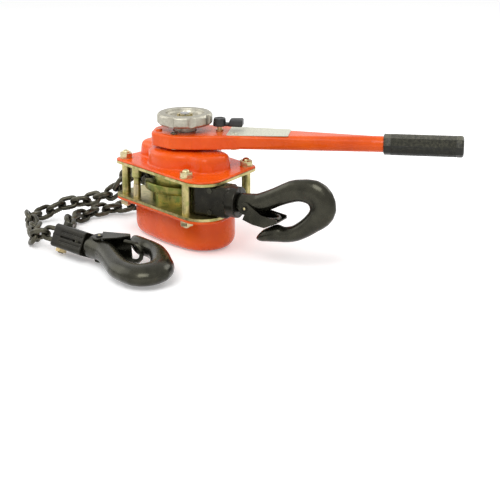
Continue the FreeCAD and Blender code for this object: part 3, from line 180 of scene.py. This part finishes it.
orangeLook = {
    "name": "orangeEnamel",
    "noises": {"cloud": {"scale": 22, "detail": 4}, "wear": {"scale": 60, "detail": 5},
               "cast": {"scale": 90, "detail": 3}, "peel": {"scale": 700, "detail": 2}},
    "colour": ("cloud", [(0.30, (0.72, 0.080, 0.004)), (0.52, (0.82, 0.100, 0.005)),
                         (0.72, (0.87, 0.125, 0.008))]),
    "roughness": ("wear", 0.20, 0.32),
    "fixed": {"Coat Weight": 0.08, "Coat Roughness": 0.10, "Specular IOR Level": 0.22},
    "relief": [("cast", 0.08, 0.0008), ("peel", 0.06, 0.0002)],
}
aluminiumLook = {
    "name": "castAluminium",
    "noises": {"grain": {"scale": 260, "detail": 5}, "wear": {"scale": 80, "detail": 4},
               "pores": {"scale": 1200, "detail": 2}},
    "colour": ("grain", [(0.25, (0.34, 0.32, 0.26)), (0.70, (0.50, 0.48, 0.40))]),
    "roughness": ("wear", 0.36, 0.54),
    "fixed": {"Metallic": 1.0},
    "relief": [("grain", 0.12, 0.0003), ("pores", 0.12, 0.0002)],
}
rubberLook = {
    "name": "rubberGrip",
    "noises": {"cloud": {"scale": 260, "detail": 5}, "grain": {"scale": 900, "detail": 3}},
    # upper side lighter, underside darker: partly dust, partly painted light and painted shade
    "dustAndTopLight": 0.5,
    "colour": ("cloud", [(0.20, (0.010, 0.011, 0.008)), (0.66, (0.022, 0.022, 0.015)),
                         (1.00, (0.120, 0.116, 0.082))]),
    "roughness": ("cloud", 0.36, 0.56),
    "fixed": {"Specular IOR Level": 0.32},
    "relief": [("grain", 0.35, 0.0003)],
}
plateLook = {
    "name": "blankPlate",
    "noises": {"brushed": {"scale": 90, "detail": 3, "stretch": (1, 40, 1), "turn": (0, 0, 0.75)},
               "speck": {"scale": 520, "detail": 4, "rough": 0.7}},
    "colour": ("speck", [(0.34, (0.40, 0.41, 0.33)), (0.46, (0.62, 0.62, 0.50)), (0.66, (0.74, 0.73, 0.60))]),
    "roughness": ("brushed", 0.36, 0.52),
    "fixed": {"Metallic": 0.20},
    "relief": [("brushed", 0.05, 0.0002)],
}
mouldingLook = {
    "name": "blackMoulding",
    "noises": {"cloud": {"scale": 200, "detail": 3}, "grain": {"scale": 1300, "detail": 2}},
    "colour": ("cloud", [(0.3, (0.010, 0.010, 0.010)), (0.7, (0.022, 0.022, 0.021))]),
    "roughness": ("cloud", 0.34, 0.46),
    "fixed": {},
    "relief": [("grain", 0.2, 0.0002)],
}
steelLook = {
    "name": "gearSteel",
    "noises": {"turned": {"scale": 210, "detail": 3, "stretch": (1, 1, 9)}},
    "colour": ("turned", [(0.3, (0.36, 0.36, 0.37)), (0.7, (0.52, 0.52, 0.53))]),
    "roughness": ("turned", 0.24, 0.40),
    "fixed": {"Metallic": 1.0},
    "relief": [("turned", 0.08, 0.0002)],
}
liningLook = {
    "name": "frictionLining",
    "noises": {"speck": {"scale": 900, "detail": 4}},
    "colour": ("speck", [(0.4, (0.20, 0.12, 0.07)), (0.6, (0.42, 0.30, 0.20))]),
    "roughness": ("speck", 0.7, 0.9),
    "fixed": {},
    "relief": [("speck", 0.3, 0.0003)],
}
brassLook = {
    "name": "brassMetal",
    "noises": {"cloud": {"scale": 140, "detail": 4}, "grain": {"scale": 700, "detail": 3}},
    "colour": ("cloud", [(0.3, (0.42, 0.31, 0.14)), (0.7, (0.72, 0.58, 0.32))]),
    "roughness": ("cloud", 0.26, 0.42),
    "fixed": {"Metallic": 1.0},
    "relief": [("grain", 0.15, 0.0002)],
}

# the pieces between the plates are plated a deeper green, partly a greener tint and partly painted shade, and
# the yokes are blacker than the hooks as painted shade
plateStops = [(0.26, (0.13, 0.15, 0.045)), (0.40, (0.32, 0.29, 0.10)), (0.50, (0.56, 0.47, 0.22)),
              (0.58, (0.34, 0.33, 0.12)), (0.68, (0.55, 0.41, 0.22)), (0.78, (0.40, 0.25, 0.14))]
greenShadedStops = [(0.26, (0.05, 0.08, 0.02)), (0.42, (0.15, 0.17, 0.04)), (0.52, (0.32, 0.27, 0.08)),
              (0.62, (0.14, 0.20, 0.06)), (0.74, (0.34, 0.21, 0.10))]
fastenerStops = [(0.30, (0.40, 0.35, 0.17)), (0.50, (0.60, 0.53, 0.31)), (0.70, (0.56, 0.42, 0.26))]
finishLooks = {
    "zinc_plated_plate": zincLook("zincPlate", plateStops, low=0.26, high=0.44),
    "zinc_plated_fastener": zincLook("zincFastener", fastenerStops, low=0.24, high=0.40),
    # greener chromate, darker as painted shade
    "green_chromate_shaded": zincLook("greenChromateShaded", greenShadedStops, low=0.24, high=0.42),
    "orange_paint": orangeLook,
    "cast_aluminium": aluminiumLook,
    "rubber_grip": rubberLook,
    "bare_plate": plateLook,
    "black_plastic": mouldingLook,
    "black_hook": oxideLook("blackHook", (0.026, 0.025, 0.017), (0.046, 0.044, 0.030),
                            low=0.22, high=0.30, metal=0.80, coat=0.08, grain=420),
    # a darker copy of the hooks' black, which is painted shade
    "black_yoke": oxideLook("blackShaded", (0.009, 0.008, 0.005), (0.022, 0.020, 0.013),
                            low=0.24, high=0.38, metal=0.70, coat=0.04, grain=420),
    "black_chain": oxideLook("blackChain", (0.034, 0.032, 0.022), (0.105, 0.098, 0.070),
                             low=0.28, high=0.44, metal=0.85, coat=0.04, grain=500),
    "gear_steel": steelLook,
    "spring_steel": steelLook,
    "friction_lining": liningLook,
    "brass": brassLook,
}
finishes = {slotName: makeFinish(look) for slotName, look in finishLooks.items()}
print("materials made:", len(finishes))


# Helpers that put pieces in place

meshLook = {"weld": 0.004, "flatAngle": 0.5}


def paint(piece, slotName):
    piece.data.materials.clear()
    piece.data.materials.append(finishes[slotName])


def makeObject(name, bm):
    mesh = bpy.data.meshes.new(name)
    bm.to_mesh(mesh)
    bm.free()
    made = bpy.data.objects.new(name, mesh)
    bpy.context.scene.collection.objects.link(made)
    return made


def mergedMesh(nodeName):
    # a node's own triangles, welded, with flat faces joined up again
    bm = bmesh.new()
    bm.from_mesh(nodes[nodeName].data)
    bmesh.ops.remove_doubles(bm, verts=bm.verts, dist=meshLook["weld"] * mm)
    flatAngle = math.radians(meshLook["flatAngle"])
    bmesh.ops.dissolve_limit(bm, angle_limit=flatAngle, verts=bm.verts, edges=bm.edges)
    return bm


def addPiece(name, bm, bodyName, slotName, smoothAngle=35.0):
    for face in bm.faces:
        face.smooth = True
    for edge in bm.edges:
        edge.smooth = len(edge.link_faces) == 2 and edge.calc_face_angle(0.0) < math.radians(smoothAngle)
    piece = makeObject(name, bm)
    paint(piece, slotName)
    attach(piece, bodyName)
    return piece


def standIn(name, bm, nodeName, smoothAngle=35.0):
    # a piece that takes a node's place, on its body and with its finish
    piece = addPiece(name, bm, bodyOf[nodeName], slotOf[nodeName], smoothAngle)
    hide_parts(nodeName)
    return piece


# Forged and cast pieces: a welded copy, rebuilt as one even skin and relaxed until its edges are soft

relaxFactor = 0.5
softSkins = {
    "top_hook": {"voxel": 1.1, "relax": 45},
    "bottom_hook": {"voxel": 1.2, "relax": 45},
    "hand_wheel": {"voxel": 0.8, "relax": 10, "rimDrop": 4.0, "rimFrom": 20.0, "rimBelow": 1.0},
    "top_yoke_left": {"voxel": 0.9, "relax": 6},
    "top_yoke_right": {"voxel": 0.9, "relax": 6},
    "bottom_yoke_upper": {"voxel": 0.7, "relax": 3},
    "bottom_yoke_lower": {"voxel": 0.7, "relax": 3},
    "lever_body": {"voxel": 1.1, "relax": 4},
    "gear_cover": {"voxel": 1.5, "relax": 2, "domeShare": (0.0, 0.80), "domeRelax": 24},
    "brake_cover": {"voxel": 1.4, "relax": 2, "domeShare": (0.24, 1.0), "domeRelax": 90},
}


def bakedMesh(bm, modifiers):
    # a throwaway object carries the modifiers, and its final mesh comes back as a bmesh
    work = makeObject("work", bm)
    mesh = work.data
    for kind, values in modifiers:
        modifier = work.modifiers.new(kind.title(), kind)
        for name, value in values.items():
            setattr(modifier, name, value)
    final = bpy.data.meshes.new_from_object(work.evaluated_get(bpy.context.evaluated_depsgraph_get()))
    result = bmesh.new()
    result.from_mesh(final)
    bpy.data.objects.remove(work)
    bpy.data.meshes.remove(mesh)
    bpy.data.meshes.remove(final)
    return result


def rimUnderside(bm, nodeName, look):
    # the lower corners of a wheel's rim, outside its hub
    low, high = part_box(nodeName)
    centre = Vector(((low[0] + high[0]) / 2, (low[1] + high[1]) / 2))
    rim = [vert for vert in bm.verts if (vert.co.xy - centre).length > look["rimFrom"] * mm]
    middle = sum(vert.co.z for vert in rim) / len(rim)
    return [vert for vert in rim if vert.co.z < middle - look["rimBelow"] * mm]


def softSkin(nodeName, look):
    source = mergedMesh(nodeName)
    if "rimDrop" in look:
        under = rimUnderside(source, nodeName, look)
        bmesh.ops.translate(source, verts=under, vec=(0, 0, -look["rimDrop"] * mm))
    bm = bakedMesh(source, [
        ("REMESH", {"mode": "VOXEL", "voxel_size": look["voxel"] * mm}),
        ("SMOOTH", {"factor": relaxFactor, "iterations": look["relax"]}),
    ])
    if "domeShare" in look:
        low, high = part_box(nodeName)
        span = high[2] - low[2]
        bottom, top = (low[2] + span * share for share in look["domeShare"])
        dome = [vert for vert in bm.verts if bottom < vert.co.z < top or top == high[2] < vert.co.z]
        for _ in range(look["domeRelax"]):
            bmesh.ops.smooth_vert(bm, verts=dome, factor=relaxFactor, use_axis_x=True, use_axis_y=True,
                                  use_axis_z=True)
    return bm


for nodeName, look in softSkins.items():
    piece = standIn(nodeName + "_skin", softSkin(nodeName, look), nodeName, smoothAngle=60.0)
    if "yoke" in nodeName:
        # painted shade: the yokes take the darker black
        paint(piece, "black_yoke")
print("forged and cast skins:", len(softSkins))


# Where a group's separate pieces lie: their centre, long way, wide way and thin way

lieLook = {"turns": 60, "longStart": (1.0, 0.31, 0.17), "thinStart": (0.21, 0.33, 1.0), "sortDigits": 5}


def islands(bm):
    left = set(bm.verts)
    groups = []
    while left:
        group = []
        front = [left.pop()]
        while front:
            vert = front.pop()
            group.append(vert)
            for link in vert.link_edges:
                other = link.other_vert(vert)
                if other in left:
                    left.remove(other)
                    front.append(other)
        groups.append(group)
    return groups


def mainWay(spread, start):
    # repeated multiplying turns a vector towards the widest way of the spread
    way = Vector(start)
    for _ in range(lieLook["turns"]):
        way = (spread @ way).normalized()
    return way


def lieOf(verts):
    points = [vert.co for vert in verts]
    low = Vector(min(point[axis] for point in points) for axis in range(3))
    high = Vector(max(point[axis] for point in points) for axis in range(3))
    middle = sum(points, Vector()) / len(points)
    spread = Matrix([[sum((p[i] - middle[i]) * (p[j] - middle[j]) for p in points) for j in range(3)]
                     for i in range(3)])
    total = sum(spread[i][i] for i in range(3))
    longWay = mainWay(spread, lieLook["longStart"])
    flatSpread = Matrix.Identity(3) * total - spread
    thinWay = mainWay(flatSpread, lieLook["thinStart"])
    thinWay = (thinWay - longWay * thinWay.dot(longWay)).normalized()
    return {"low": low, "high": high, "middle": middle, "long": longWay, "thin": thinWay,
            "wide": thinWay.cross(longWay)}


def liesOf(nodeName):
    bm = mergedMesh(nodeName)
    lies = [lieOf(group) for group in islands(bm)]
    bm.free()
    digits = lieLook["sortDigits"]
    return sorted(lies, key=lambda lie: tuple(round(value, digits) for value in lie["middle"]))


def putAt(bm, verts, lie, middle=None):
    # from the piece's own axes (long along X, thin along Z) to where it lies
    turn = Matrix((lie["long"], lie["wide"], lie["thin"])).transposed().to_4x4()
    place = Matrix.Translation(lie["middle"] if middle is None else middle)
    bmesh.ops.transform(bm, matrix=place @ turn, verts=verts)


# Helpers that shape a mesh

def joinInto(bm, other):
    # adds a finished shape to a bigger one
    mesh = bpy.data.meshes.new("join")
    other.to_mesh(mesh)
    other.free()
    bm.from_mesh(mesh)
    bpy.data.meshes.remove(mesh)


def vertsIn(items):
    return [item for item in items if isinstance(item, bmesh.types.BMVert)]


def edgesIn(items):
    return [item for item in items if isinstance(item, bmesh.types.BMEdge)]


def topFace(bm):
    return max(bm.faces, key=lambda face: face.calc_center_median().z)


def soften(bm, edges, offset, steps):
    bmesh.ops.bevel(bm, geom=list(edges), offset=offset, segments=steps, profile=0.5, affect="EDGES",
                    material=-1)


def flatBall(bm, radius, sides, squash, middle):
    around, along = sides
    verts = bmesh.ops.create_uvsphere(bm, u_segments=around, v_segments=along, radius=radius)["verts"]
    bmesh.ops.scale(bm, verts=verts, vec=squash)
    bmesh.ops.translate(bm, verts=verts, vec=middle)


def turnAll(bm, angle, axis):
    bmesh.ops.rotate(bm, verts=bm.verts, cent=(0, 0, 0), matrix=Matrix.Rotation(angle, 3, axis))


# Chain: a round welded link lies in the place of each plain one

linkLook = {"wire": 7.1, "width": 24.0, "pitch": 21.0, "sides": 16, "bendSteps": 10, "weldSwell": 1.10,
            "sideShares": (0.30, 0.12, 0.16, 0.12, 0.30), "seam": 0.03}
chainNodes = ("load_chain", "slack_chain", "chain_on_sheave")


def chainLink():
    # half rings turned at each end, two straights, with a weld swelling on one of them
    bm = bmesh.new()
    wireRadius = linkLook["wire"] / 2 * mm
    bendRadius = linkLook["width"] / 2 * mm - wireRadius
    half = (linkLook["pitch"] / 2 + linkLook["wire"] / 2) * mm - bendRadius
    section = bmesh.ops.create_circle(bm, segments=linkLook["sides"], radius=wireRadius)["verts"]
    turnAll(bm, math.pi / 2, "Y")
    bmesh.ops.translate(bm, verts=section, vec=(half, bendRadius, 0))
    ring = list(bm.edges)
    swell = linkLook["weldSwell"]
    for end in (1, -1):
        turn = bmesh.ops.spin(bm, geom=ring, cent=(half * end, 0, 0), axis=(0, 0, 1), angle=-math.pi,
                              steps=linkLook["bendSteps"], use_merge=False)
        ring = edgesIn(turn["geom_last"])
        for share, growth in zip(linkLook["sideShares"], (1, swell, 1, 1 / swell, 1)):
            step = bmesh.ops.extrude_edge_only(bm, edges=ring)["geom"]
            ends = vertsIn(step)
            bmesh.ops.translate(bm, verts=ends, vec=(-2 * half * share * end, 0, 0))
            if end == 1:
                centre = sum((vert.co for vert in ends), Vector()) / len(ends)
                bmesh.ops.scale(bm, verts=ends, vec=(1, growth, growth), space=Matrix.Translation(-centre))
            ring = edgesIn(step)
    bmesh.ops.remove_doubles(bm, verts=bm.verts, dist=linkLook["seam"] * mm)
    bmesh.ops.recalc_face_normals(bm, faces=bm.faces)
    return bm


def chainRun(nodeName):
    bm = bmesh.new()
    for lie in liesOf(nodeName):
        link = chainLink()
        putAt(link, link.verts, lie, (lie["low"] + lie["high"]) / 2)
        joinInto(bm, link)
    return bm


for nodeName in chainNodes:
    standIn(nodeName + "_links", chainRun(nodeName), nodeName, smoothAngle=60.0)
print("chain links in place")


# Domed nuts and their washers, at both ends of the stays

nutLook = {"flats": 17.4, "edge": 0.9, "edgeSteps": 3, "washerRadius": 9.7, "washer": 1.0, "washerSides": 40,
           "endRadius": 5.7, "endRise": 4.2, "endSides": (32, 16)}


def domedNut(bm, centre, height, up):
    # a hexagon with softened corners on a thin washer, and the rounded end of its stay
    part = bmesh.new()
    corner = nutLook["flats"] / math.sqrt(3) * mm
    bmesh.ops.create_cone(part, cap_ends=True, segments=6, radius1=corner, radius2=corner, depth=height,
                          matrix=Matrix.Translation((0, 0, height / 2)))
    soften(part, part.edges, nutLook["edge"] * mm, nutLook["edgeSteps"])
    washerRadius, washer = nutLook["washerRadius"] * mm, nutLook["washer"] * mm
    bmesh.ops.create_cone(part, cap_ends=True, segments=nutLook["washerSides"], radius1=washerRadius,
                          radius2=washerRadius, depth=washer, matrix=Matrix.Translation((0, 0, washer / 2)))
    endRadius = nutLook["endRadius"] * mm
    squash = (1, 1, nutLook["endRise"] * mm / endRadius)
    flatBall(part, endRadius, nutLook["endSides"], squash, middle=(0, 0, height))
    if up < 0:
        turnAll(part, math.pi, "X")
    bmesh.ops.translate(part, verts=part.verts, vec=centre)
    joinInto(bm, part)


def stayNuts():
    bm = bmesh.new()
    middleHeight = sum(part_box("stay_nuts")[side][2] for side in (0, 1)) / 2
    for lie in liesOf("stay_nuts"):
        up = 1 if lie["middle"].z > middleHeight else -1
        seat = lie["low"].z if up > 0 else lie["high"].z
        centre = ((lie["low"].x + lie["high"].x) / 2, (lie["low"].y + lie["high"].y) / 2, seat)
        domedNut(bm, centre, lie["high"].z - lie["low"].z, up)
    return bm


standIn("stay_nuts_domed", stayNuts(), "stay_nuts", smoothAngle=40.0)


# Lever screws: socket heads, one black, two painted over and one the colour of the name plate

screwLook = {"head": 5.2, "taper": 0.94, "sides": 36, "rise": 2.5, "socket": 2.3, "depth": 1.5, "edge": 0.5,
             "edgeSteps": 3, "finishes": ["black_hook", "orange_paint", "orange_paint", "bare_plate"],
             "spots": [(11.7, -28.7), (-23.0, -31.0), (-27.8, 13.7), (69.2, 37.2)]}


def socketHead(x, y, seat):
    bm = bmesh.new()
    radius, rise = screwLook["head"] * mm, screwLook["rise"] * mm
    topRadius = radius * screwLook["taper"]
    bmesh.ops.create_cone(bm, cap_ends=True, segments=screwLook["sides"], radius1=radius, radius2=topRadius,
                          depth=rise)
    soften(bm, topFace(bm).edges, screwLook["edge"] * mm, screwLook["edgeSteps"])
    top = topFace(bm)
    ring = topRadius - (screwLook["edge"] + screwLook["socket"]) * mm
    bmesh.ops.inset_region(bm, faces=[top], thickness=ring, use_even_offset=True)
    sunk = bmesh.ops.extrude_face_region(bm, geom=[top])["geom"]
    bmesh.ops.translate(bm, verts=vertsIn(sunk), vec=(0, 0, -screwLook["depth"] * mm))
    if top.is_valid:
        bmesh.ops.delete(bm, geom=[top], context="FACES_ONLY")
    bmesh.ops.translate(bm, verts=bm.verts, vec=(x * mm, y * mm, seat + rise / 2))
    return bm


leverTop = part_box("lever_body")[1][2]
for number, ((x, y), finish) in enumerate(zip(screwLook["spots"], screwLook["finishes"]), 1):
    addPiece("lever_screw_head_%d" % number, socketHead(x, y, leverTop), "lever", finish)


# Latch rivets: black ends, each with a small bright spot in the middle

rivetLook = {"spot": 1.9, "rise": 0.45, "sides": (24, 12)}
rivetNodes = ("top_latch_rivet", "bottom_latch_rivet")


def rivetSpots(nodeName):
    lie = liesOf(nodeName)[0]
    bm = mergedMesh(nodeName)
    reach = [(vert.co - lie["middle"]).dot(lie["long"]) for vert in bm.verts]
    bm.free()
    part = bmesh.new()
    squash = (rivetLook["rise"] / rivetLook["spot"], 1, 1)
    for end in (min(reach), max(reach)):
        flatBall(part, rivetLook["spot"] * mm, rivetLook["sides"], squash, middle=(end, 0, 0))
    putAt(part, part.verts, lie)
    return part


for nodeName in rivetNodes:
    spots = rivetSpots(nodeName)
    addPiece(nodeName + "_spots", spots, bodyOf[nodeName], slotOf[nodeName], smoothAngle=60.0)


# Selector: a round knob with a dished top, and a thumb paddle moulded on its side

knobLook = {"centre": (38.03, 35.46), "turn": 43.0, "radius": 10.2, "crown": 8.6, "height": 12.0, "sides": 48,
            "rim": 1.6, "dish": 0.8, "dishEdge": 0.8, "soft": 1.3, "softSteps": 4, "paddle": (12.6, 35.0),
            "paddleWide": (15.0, 19.0), "paddleDrop": 0.6, "slope": 3.4, "paddleSoft": 2.8,
            "bridge": (5.0, 16.0, 8.0, 5.0), "bridgeSoft": 1.2}


def blockBetween(bm, x0, x1, wide0, wide1, z0, z1, slope, soft):
    # a soft-edged block that widens along X and leans back on its near end
    made = bmesh.ops.create_cube(bm, size=1.0)["verts"]
    for vert in made:
        near, upper = vert.co.x < 0, vert.co.z > 0
        side = 1 if vert.co.y > 0 else -1
        wide = wide0 if near else wide1
        lean = slope if near and upper else 0
        vert.co = Vector((x0 + lean if near else x1, wide / 2 * side, z1 if upper else z0))
    soften(bm, {edge for vert in made for edge in vert.link_edges}, soft, knobLook["softSteps"])


def selectorKnob():
    bm = bmesh.new()
    radius, crown, height = knobLook["radius"], knobLook["crown"], knobLook["height"]
    bmesh.ops.create_cone(bm, cap_ends=True, segments=knobLook["sides"], radius1=radius, radius2=crown,
                          depth=height)
    bmesh.ops.translate(bm, verts=bm.verts, vec=(0, 0, height / 2))
    caps = [face for face in bm.faces if len(face.verts) > 4]
    soften(bm, {edge for face in caps for edge in face.edges}, knobLook["soft"], knobLook["softSteps"])
    top = topFace(bm)
    bmesh.ops.inset_region(bm, faces=[top], thickness=knobLook["rim"])
    bmesh.ops.inset_region(bm, faces=[top], thickness=knobLook["dishEdge"], depth=-knobLook["dish"])
    x0, x1 = knobLook["paddle"]
    wide0, wide1 = knobLook["paddleWide"]
    paddleTop = height - knobLook["paddleDrop"]
    blockBetween(bm, x0, x1, wide0, wide1, 0, paddleTop, knobLook["slope"], knobLook["paddleSoft"])
    x0, x1, wide, high = knobLook["bridge"]
    blockBetween(bm, x0, x1, wide, wide, 0, high, 0, knobLook["bridgeSoft"])
    bmesh.ops.scale(bm, verts=bm.verts, vec=(mm, mm, mm))
    turnAll(bm, math.radians(knobLook["turn"]), "Z")
    centre = Vector((knobLook["centre"][0] * mm, knobLook["centre"][1] * mm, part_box("selector_knob")[0][2]))
    bmesh.ops.translate(bm, verts=bm.verts, vec=centre)
    return bm


standIn("selector_knob_moulded", selectorKnob(), "selector_knob", smoothAngle=50.0)


# Grip: a moulded rubber sleeve with eight soft flats, fine raised points and a lip at its far end; "close"
# has a share of the radius and a share of the round end's length for each ring that closes it

gripLook = {"radius": 15.4, "around": 56, "along": 62, "shortEdge": 1.0, "flats": 8, "flatDepth": 0.75,
            "smoothEnd": 7.0, "point": 0.65, "start": 4.0, "end": 0.4, "round": 4.0, "lip": 1.035,
            "lipWidth": 6.0,
            "close": [(0.985, 0.30), (0.93, 0.34), (0.84, 0.22), (0.55, 0.14), (0.20, 0.0)]}


def gripSleeve():
    lie = liesOf("grip")[0]
    bm = mergedMesh("grip")
    reach = [vert.co.dot(lie["long"]) for vert in bm.verts]
    bm.free()
    if lie["middle"].dot(lie["long"]) < 0:
        lie["long"], lie["wide"] = -lie["long"], -lie["wide"]
        reach = [-value for value in reach]
    near = min(reach) + gripLook["start"] * mm
    far = max(reach) - gripLook["end"] * mm
    length = far - near
    part = bmesh.new()
    radius, roundEnd = gripLook["radius"] * mm, gripLook["round"] * mm
    bmesh.ops.create_cone(part, cap_ends=False, segments=gripLook["around"], radius1=radius, radius2=radius,
                          depth=length - 2 * roundEnd)
    shortEdge = gripLook["shortEdge"] * mm
    along = [edge for edge in part.edges if abs(edge.verts[0].co.z - edge.verts[1].co.z) > shortEdge]
    bmesh.ops.subdivide_edges(part, edges=along, cuts=gripLook["along"], use_grid_fill=True)
    sector = 2 * math.pi / gripLook["flats"]
    lipFrom = length / 2 - roundEnd - gripLook["lipWidth"] * mm
    for vert in part.verts:
        turn = math.atan2(vert.co.y, vert.co.x) % sector - sector / 2
        flat = math.cos(sector / 2) / math.cos(turn)
        size = 1 + (flat - 1) * gripLook["flatDepth"]
        size *= gripLook["lip"] if vert.co.z > lipFrom else 1
        vert.co.xy *= size
    smoothFrom = length / 2 - roundEnd - gripLook["smoothEnd"] * mm
    rough = [face for face in part.faces if abs(face.calc_center_median().z) < smoothFrom]
    bmesh.ops.poke(part, faces=rough, offset=gripLook["point"] * mm)
    for end in (1, -1):
        ring = [edge for edge in part.edges if edge.is_boundary and edge.verts[0].co.z * end > 0]
        for share, rise in gripLook["close"]:
            step = bmesh.ops.extrude_edge_only(part, edges=ring)["geom"]
            ends = vertsIn(step)
            ring = edgesIn(step)
            now = sum(vert.co.xy.length for vert in ends) / len(ends)
            bmesh.ops.scale(part, verts=ends, vec=(radius * share / now, radius * share / now, 1))
            bmesh.ops.translate(part, verts=ends, vec=(0, 0, rise * roundEnd * end))
        bmesh.ops.holes_fill(part, edges=ring, sides=gripLook["around"])
    bmesh.ops.recalc_face_normals(part, faces=part.faces)
    turnAll(part, math.pi / 2, "Y")
    middle = lie["middle"] + lie["long"] * ((far + near) / 2 - lie["middle"].dot(lie["long"]))
    low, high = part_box("grip")
    middle.z = (low[2] + high[2]) / 2
    putAt(part, part.verts, lie, middle)
    return part


standIn("grip_sleeve", gripSleeve(), "grip", smoothAngle=14.0)
print("nuts, screw heads, rivet spots, knob and grip made")


# Every node gets its finish; those that no piece above stands for get a welded, smoothly shaded copy

betweenPlates = ("chain_guide", "load_sheave", "chain_stripper")
shaped = {"stay_nuts", "grip", "selector_knob", *softSkins, *chainNodes}
for nodeName, node in nodes.items():
    paint(node, slotOf[nodeName])
for nodeName in sorted(set(nodes) - shaped):
    piece = standIn(nodeName + "_fine", mergedMesh(nodeName), nodeName)
    if nodeName in betweenPlates:
        # a greener tint, darker as painted shade between the plates
        paint(piece, "green_chromate_shaded")
    if nodeName in rivetNodes:
        # the rivets take the darker black that is painted shade on the yokes
        paint(piece, "black_yoke")
print("plain pieces:", len(nodes) - len(shaped))


# Floor, light and camera

stageLook = {"floorHalf": 14.0, "floorTop": -0.0004, "floorColour": (0.90, 0.90, 0.90), "seenWhite": 0.30}


def seenFactor(tree):
    # 1 for what the camera, a reflection or clear glass sees
    path = tree.nodes.new("ShaderNodeLightPath")
    total = path.outputs["Is Camera Ray"]
    for name in ("Is Glossy Ray", "Is Transmission Ray"):
        total = mathNode(tree, "MAXIMUM", total, path.outputs[name])
    return total


def buildFloor():
    bm = bmesh.new()
    bmesh.ops.create_grid(bm, x_segments=1, y_segments=1, size=stageLook["floorHalf"])
    bmesh.ops.translate(bm, verts=bm.verts, vec=(0, 0, stageLook["floorTop"]))
    floor = makeObject("floor", bm)
    material = bpy.data.materials.new("floorWhite")
    material.use_nodes = True
    tree = material.node_tree
    shader = tree.nodes["Principled BSDF"]
    shader.inputs["Base Color"].default_value = (*stageLook["floorColour"], 1)
    shader.inputs["Roughness"].default_value = 1.0
    shader.inputs["Specular IOR Level"].default_value = 0.0
    shader.inputs["Emission Color"].default_value = (1, 1, 1, 1)
    seen = mathNode(tree, "MULTIPLY", seenFactor(tree), stageLook["seenWhite"])
    tree.links.new(seen, shader.inputs["Emission Strength"])
    floor.data.materials.append(material)


cameraView = {"azimuth": 51.04, "elevation": 15.52, "distance": 2.2113, "target": (0.0614, 0.0759, 0.0659),
              "lens": 106.3, "sensor": 36.0, "shift": (-0.002, -0.11), "near": 0.05}


def addCamera():
    azimuth = math.radians(cameraView["azimuth"])
    elevation = math.radians(cameraView["elevation"])
    level = math.cos(elevation)
    back = Vector((math.sin(azimuth) * level, -math.cos(azimuth) * level, math.sin(elevation)))
    data = bpy.data.cameras.new("camera")
    data.lens = cameraView["lens"]
    data.sensor_width = cameraView["sensor"]
    data.shift_x, data.shift_y = cameraView["shift"]
    data.clip_start = cameraView["near"]
    camera = bpy.data.objects.new("camera", data)
    camera.location = Vector(cameraView["target"]) + back * cameraView["distance"]
    camera.rotation_euler = back.to_track_quat("Z", "Y").to_euler()
    bpy.context.scene.collection.objects.link(camera)
    bpy.context.scene.camera = camera


studio = {"worldFrom": -0.1, "worldLight": (0.20, 0.80), "shownWorld": 1.0}
lamps = [
    {"name": "keyLamp", "from": (0.9, -1.3, 1.9), "size": 1.3, "power": 26},
    {"name": "fillLamp", "from": (-1.6, -1.0, 1.2), "size": 1.6, "power": 12},
    {"name": "backLamp", "from": (0.3, 1.8, 1.6), "size": 1.2, "power": 14},
]


def addLight():
    # the world's light grows with height; the camera and reflections see it white
    scene = bpy.context.scene
    scene.view_settings.view_transform = "Standard"
    world = bpy.data.worlds.new("studio")
    world.use_nodes = True
    tree = world.node_tree
    background = tree.nodes["Background"]
    background.inputs["Color"].default_value = (1, 1, 1, 1)
    up = tree.nodes.new("ShaderNodeSeparateXYZ")
    tree.links.new(tree.nodes.new("ShaderNodeTexCoord").outputs["Generated"], up.inputs[0])
    span = tree.nodes.new("ShaderNodeMapRange")
    span.inputs["From Min"].default_value = studio["worldFrom"]
    span.inputs["To Min"].default_value, span.inputs["To Max"].default_value = studio["worldLight"]
    tree.links.new(up.outputs["Z"], span.inputs["Value"])
    shown = mathNode(tree, "MULTIPLY", seenFactor(tree), studio["shownWorld"])
    strength = mathNode(tree, "MAXIMUM", span.outputs["Result"], shown)
    tree.links.new(strength, background.inputs["Strength"])
    scene.world = world
    for lamp in lamps:
        data = bpy.data.lights.new(lamp["name"], "AREA")
        data.size = lamp["size"]
        data.energy = lamp["power"]
        light = bpy.data.objects.new(lamp["name"], data)
        light.location = Vector(lamp["from"])
        light.rotation_euler = Vector(lamp["from"]).to_track_quat("Z", "Y").to_euler()
        scene.collection.objects.link(light)


buildFloor()
addCamera()
addLight()
print("stage ready")
